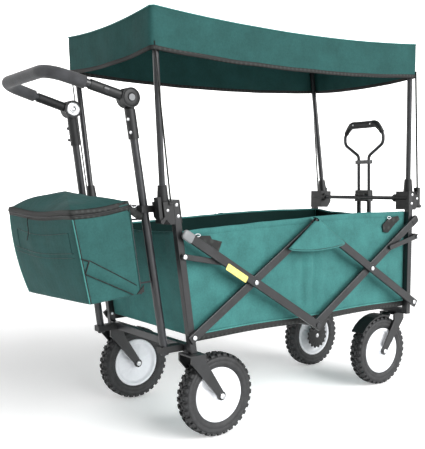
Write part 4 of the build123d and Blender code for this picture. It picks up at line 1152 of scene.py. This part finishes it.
class WAGON_OT_fittings(bpy.types.Operator):
    """Make the rivet heads, bar end caps, blank label, hinge discs and grip collars"""
    bl_idname = "wagon.fittings"
    bl_label = "Fittings"

    def execute(self, context):
        self.rivets()
        self.end_caps()
        self.label()
        self.hinge_discs()
        self.tube_collars()
        self.grip_hoods()
        self.bracket_bolts()
        return {"FINISHED"}

    def rivets(self):
        """A domed head over each pin's outer end."""
        for node, body in (("push_pivot_pins", "push_end"), ("pull_pivot_pins", "pull_end"),
                           ("push_crossing_pins", "push_rising"), ("pull_crossing_pins", "pull_falling")):
            heads = [dome_at(x, y, z, math.copysign(1, y), 6.8 * MM) for x, y, z in self.heads(node)]
            piece(f"{node}_heads", *joined(*heads), "zinc_plated_steel", body, "zinc_fastener")

    def heads(self, node):
        """Where a node's pins end on the wagon's outside: one place for each separate pin of its mesh."""
        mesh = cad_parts[node].data
        links = {}
        for edge in mesh.edges:
            a, b = edge.vertices
            links.setdefault(a, []).append(b)
            links.setdefault(b, []).append(a)
        joined_at = {}
        for vert in mesh.vertices:
            joined_at.setdefault(tuple(round(c, 5) for c in vert.co), []).append(vert.index)
        for same in joined_at.values():
            for other in same[1:]:
                links.setdefault(same[0], []).append(other)
                links.setdefault(other, []).append(same[0])
        seen, places = set(), []
        for start in range(len(mesh.vertices)):
            if start in seen:
                continue
            stack, shell = [start], []
            seen.add(start)
            while stack:
                at = stack.pop()
                shell.append(mesh.vertices[at].co)
                for other in links.get(at, ()):
                    if other not in seen:
                        seen.add(other)
                        stack.append(other)
            lo = Vector([min(c[k] for c in shell) for k in range(3)])
            hi = Vector([max(c[k] for c in shell) for k in range(3)])
            y = hi.y if abs(hi.y) > abs(lo.y) else lo.y
            places.append(((lo.x + hi.x) / 2, y, (lo.z + hi.z) / 2))
        return places

    def end_caps(self):
        """Rounded plastic caps on the upper ends of the falling bars."""
        for end, sign in (("push", -1), ("pull", 1)):
            low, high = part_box(f"{end}_falling_bars")
            outer = high.y
            tip = Vector((low.x if end == "push" else high.x, 0, high.z))
            way = Vector((sign * math.cos(BAR_SLOPE), 0, math.sin(BAR_SLOPE)))
            lift = Vector((-sign * math.sin(BAR_SLOPE), 0, math.cos(BAR_SLOPE)))
            middle = tip - Vector((sign * 7 * MM, 0, 11 * MM))
            look = "moulded_grey_abs" if end == "push" else "moulded_black_polypropylene"
            for word, side in NEAR_FAR.items():
                rows = []
                for along, grow in ((-24, 0.98), (-23, 1.04), (-4, 1.04), (3, 1.0), (7, 0.84), (9.5, 0.55),
                                    (10.2, 0.2)):
                    c = middle + way * (along * MM)
                    row = []
                    for k in range(16):
                        a = TURN * k / 16
                        up, across = (math.copysign(abs(v) ** 0.5, v) for v in (math.sin(a), math.cos(a)))
                        y = side * (outer - 5 * MM) + across * 6 * MM * min(1.05, grow)
                        row.append(c + lift * (up * 13.2 * MM * grow) + Vector((0, y, 0)))
                    rows.append(row)
                piece(f"{end}_{word}_bar_cap", *capped_grid(rows, first=True, last=True), look,
                      f"{end}_falling", "grey_plastic")

    def label(self):
        """A blank film label on the near side's falling bar."""
        half_long, half_wide = 41 * MM, 9.5 * MM
        middle = Vector((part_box("push_crossing_pins")[0].x - 62 * MM, -BAR_OUTSIDE - 0.4 * MM, 450 * MM))
        way = Vector((math.cos(BAR_SLOPE), 0, -math.sin(BAR_SLOPE)))
        lift = Vector((math.sin(BAR_SLOPE), 0, math.cos(BAR_SLOPE)))
        outline = rounded_rectangle(-half_long, half_long, -half_wide, half_wide, 2 * MM, 6, 4)
        layers = [[middle + way * a + lift * b + Vector((0, -depth, 0)) for a, b, _, _ in outline]
                  for depth in (0.0, 0.35 * MM)]
        piece("blank_bar_label", *slab(*layers), "vinyl_label_film", "push_falling", smooth=False)

    def hinge_discs(self):
        """Zinc pivot discs on the hinge drums' inner faces and rings round the buttons outside."""
        low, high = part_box("hinge_button_far")
        x, z = (low.x + high.x) / 2, (low.z + high.z) / 2
        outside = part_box("handle_hinge_sleeves")[1].y
        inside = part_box("push_hinge_sleeves")[1].y - 34 * MM
        disc = [(20 * MM, -1.5 * MM), (20 * MM, 0.6 * MM), (18.5 * MM, 1.6 * MM), (12 * MM, 1.6 * MM),
                (11 * MM, 0.9 * MM), (7 * MM, 0.9 * MM), (6 * MM, 2.6 * MM), (2 * MM, 3.2 * MM),
                (0.4 * MM, 3.2 * MM)]
        ring = [(9.6 * MM, 0), (9.6 * MM, 2.2 * MM), (13 * MM, 2.6 * MM), (20 * MM, 1.8 * MM),
                (24 * MM, 0.2 * MM), (24 * MM, -1 * MM), (9.6 * MM, -1 * MM)]
        for word, side in NEAR_FAR.items():
            piece(f"hinge_{word}_pivot_disc", *turned_cap(disc, 36, (x, side * (inside - 2 * MM), z), -side),
                  "zinc_plated_steel", "push_end", "zinc_fastener")
            piece(f"hinge_{word}_button_ring",
                  *turned([(r, side * y) for r, y in ring], 40, (x, side * outside, z)),
                  "moulded_black_polypropylene", "push_handle", "black_plastic")

    def tube_collars(self):
        """Rivets through the push handle's sleeves."""
        low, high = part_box("push_tubes")
        sleeve_low, sleeve_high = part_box("push_hinge_sleeves")
        heads = []
        for side in (-1, 1):
            for up in (18, 52):
                z = sleeve_low.z + up * MM
                x = mix(high.x, low.x, (z - low.z) / (high.z - low.z)) - 5.5 * MM + 1.5 * MM * up / 52
                y = side * (sleeve_high.y - (1.2 + up * 0.10) * MM)
                heads.append(dome_at(x, y, z, side, 4.5 * MM))
        piece("push_sleeve_rivets", *joined(*heads), "zinc_plated_steel", "push_end", "zinc_fastener")

    def grip_hoods(self):
        """Moulded hoods where the pull grip meets its loop."""
        low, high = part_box("pull_grip")
        centre = (low + high) / 2
        for word, side in NEAR_FAR.items():
            path = [centre + Vector((0, side * y * MM, z * MM)) for y, z in
                    ((42, 0.5), (52, 0.5), (61, -2), (70, -10), (79, -20), (87, -31))]
            rows = []
            for i, (p, size) in enumerate(zip(path, (13.5, 13.2, 12.2, 10.5, 9.2, 8.4))):
                way = (path[min(i + 1, 5)] - path[max(i - 1, 0)]).normalized()
                up = Vector((1, 0, 0))
                across = way.cross(up)
                rows.append([p + up * a + across * b for a, b in round_outline(size * MM, 18)])
            piece(f"pull_grip_{word}_hood", *capped_grid(rows, first=True, last=True),
                  "moulded_black_polypropylene", "pull_grip", "black_plastic")
            head = dome_at(0, 0, 0, -1, 3.2 * MM)
            spin = Matrix.Rotation(-math.pi / 2, 4, "Z")
            place = Matrix.Translation(centre + Vector((-13.2 * MM, side * 41 * MM, 0.5 * MM)))
            piece(f"pull_grip_{word}_rivet", *moved(head, place @ spin), "zinc_plated_steel", "pull_grip",
                  "zinc_fastener")

    def bracket_bolts(self):
        """Screw heads in the corner brackets' sides and beside the bars' top ends."""
        for end, out in (("push", -1), ("pull", 1)):
            low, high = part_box(f"{end}_corner_brackets")
            post_low, post_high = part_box(f"{end}_posts")
            heads = []
            for side in (-1, 1):
                y = side * (high.y - 0.2 * MM)
                for z in (low.z + 22 * MM, low.z + 52 * MM):
                    t = (z - post_low.z) / (post_high.z - post_low.z)
                    x = mix(post_high.x, post_low.x, t) if end == "push" else mix(post_low.x, post_high.x, t)
                    heads.append(dome_at(x - out * 10 * MM, y, z, side, 5 * MM))
                x = (low.x if end == "push" else high.x) - out * 22 * MM
                heads.append(dome_at(x, y, low.z + 38 * MM, side, 4.2 * MM))
            piece(f"{end}_bracket_screws", *joined(*heads), "zinc_plated_steel", f"{end}_end",
                  "zinc_fastener")


# ------------------------------------------------------------------ finishes of the frame
class WAGON_OT_finishes(bpy.types.Operator):
    """Give every tube, bracket, bar, pin and grip of the frame its finish"""
    bl_idname = "wagon.finishes"
    bl_label = "Frame Finishes"

    def execute(self, context):
        # the bars, posts, links and forks take the darker painted-shade copy of the coat
        special = {
            "caster_fork": "powder_coated_steel_painted_shade", "falling_bars": "powder_coated_steel_painted_shade",
            "rising_bars": "powder_coated_steel_painted_shade", "side_links": "powder_coated_steel_painted_shade",
            "posts": "powder_coated_steel_painted_shade", "foam_grip": "eva_foam",
            "corner_brackets": "moulded_black_polypropylene",
        }
        for name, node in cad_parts.items():
            held = node.data.materials[0].name.split(".")[0] if node.data.materials else ""
            look = SLOT_FINISH.get(held, "powder_coated_steel")
            for part, chosen in special.items():
                if name.endswith(part):
                    look = chosen
            node.data.materials.clear()
            node.data.materials.append(finish(look))
        return {"FINISHED"}


# ------------------------------------------------------------------ stage
class WAGON_OT_stage(bpy.types.Operator):
    """Make the floor, the soft lights and the camera"""
    bl_idname = "wagon.stage"
    bl_label = "Stage"

    def execute(self, context):
        stage = context.scene.wagon_stage
        scene = context.scene
        rows = []
        for i in range(60):
            t = i / 59
            y = mix(-9.0, 7.0, min(1, t * 1.5))
            z = 0.0 if t < 0.66 else 5.0 * (1 - math.cos((t - 0.66) / 0.34 * math.pi / 2))
            y += 2.0 * math.sin(max(0, t - 0.66) / 0.34 * math.pi / 2)
            rows.append([Vector((x, y, z)) for x in (-40.0, -12.0, 12.0, 40.0)])
        verts, faces = grid(rows)
        mesh = bpy.data.meshes.new("studio_floor")
        mesh.from_pydata([tuple(v) for v in verts], [], faces)
        mesh.polygons.foreach_set("use_smooth", [True] * len(mesh.polygons))
        floor = bpy.data.objects.new("studio_floor", mesh)
        scene.collection.objects.link(floor)
        mesh.materials.append(finish("studio_paint"))
        world = bpy.data.worlds.new("studio_room")
        scene.world = world
        world.use_nodes = True
        room = world.node_tree.nodes["Background"].inputs
        room["Color"].default_value, room["Strength"].default_value = (1, 1, 1, 1), stage.fill_light
        sun = bpy.data.lights.new("near_side_sun", "SUN")
        sun.energy, sun.angle = stage.key_power, math.radians(50)
        lamp = bpy.data.objects.new("near_side_sun", sun)
        lamp.rotation_mode = "QUATERNION"
        lamp.rotation_quaternion = Vector((-0.2, 0.86, -0.42)).to_track_quat("-Z", "Y")
        scene.collection.objects.link(lamp)
        for name, place, size, power in (("glint", (-2.2, -3.4, 1.8), 0.4, stage.key_power * 0.8),
                                         ("side", (3.4, -2.6, 1.2), 1.2, stage.key_power * 3.0)):
            data = bpy.data.lights.new(name, "AREA")
            data.energy, data.size = power, size
            lamp = bpy.data.objects.new(name, data)
            lamp.location = place
            lamp.rotation_mode = "QUATERNION"
            lamp.rotation_quaternion = (Vector((0, 0, 0.5)) - Vector(place)).to_track_quat("-Z", "Y")
            scene.collection.objects.link(lamp)
        data = bpy.data.cameras.new("studio_camera")
        data.sensor_width, data.lens = 36, stage.lens
        data.clip_start, data.clip_end = 0.05, 60
        camera = bpy.data.objects.new("studio_camera", data)
        forward, up = Vector((0.58438, 0.80912, -0.06185)).normalized(), Vector((0.04798, 0.04164, 0.99798))
        right = forward.cross(up).normalized()
        up = right.cross(forward)
        turn = Matrix((right, up, -forward)).transposed().to_4x4()
        camera.matrix_world = Matrix.Translation((-1.3705, -1.8296, 0.7089)) @ turn
        scene.collection.objects.link(camera)
        scene.camera = camera
        scene.view_settings.view_transform = "Standard"
        return {"FINISHED"}


# ------------------------------------------------------------------ panel and run
STEPS = ("finishes", "stage", "canopy", "basket", "bag", "wheels", "fittings")


class WAGON_PT_panel(bpy.types.Panel):
    """Sidebar panel that lists the wagon's settings and steps"""
    bl_label = "Folding Wagon"
    bl_idname = "WAGON_PT_panel"
    bl_space_type = "VIEW_3D"
    bl_region_type = "UI"
    bl_category = "Wagon"

    def draw(self, context):
        for group in ("wagon_fabric", "wagon_wheels", "wagon_frame", "wagon_stage"):
            settings = getattr(context.scene, group)
            box = self.layout.box()
            for name in settings.__annotations__:
                box.prop(settings, name)
        for step in STEPS:
            self.layout.operator(f"wagon.{step}")


GROUPS = {"wagon_fabric": WagonFabricSettings, "wagon_wheels": WagonWheelSettings,
          "wagon_frame": WagonFrameSettings, "wagon_stage": WagonStageSettings}
OPERATORS = (WAGON_OT_finishes, WAGON_OT_stage, WAGON_OT_canopy, WAGON_OT_basket, WAGON_OT_bag,
             WAGON_OT_wheels, WAGON_OT_fittings, WAGON_PT_panel)


def register():
    for group in GROUPS.values():
        bpy.utils.register_class(group)
    for kind in OPERATORS:
        bpy.utils.register_class(kind)
    for name, group in GROUPS.items():
        setattr(bpy.types.Scene, name, bpy.props.PointerProperty(type=group))


def unregister():
    for name in GROUPS:
        delattr(bpy.types.Scene, name)
    for kind in reversed(OPERATORS):
        bpy.utils.unregister_class(kind)
    for group in GROUPS.values():
        bpy.utils.unregister_class(group)


def main():
    register()
    for step in STEPS:
        getattr(bpy.ops.wagon, step)()


if __name__ == "__main__":
    main()
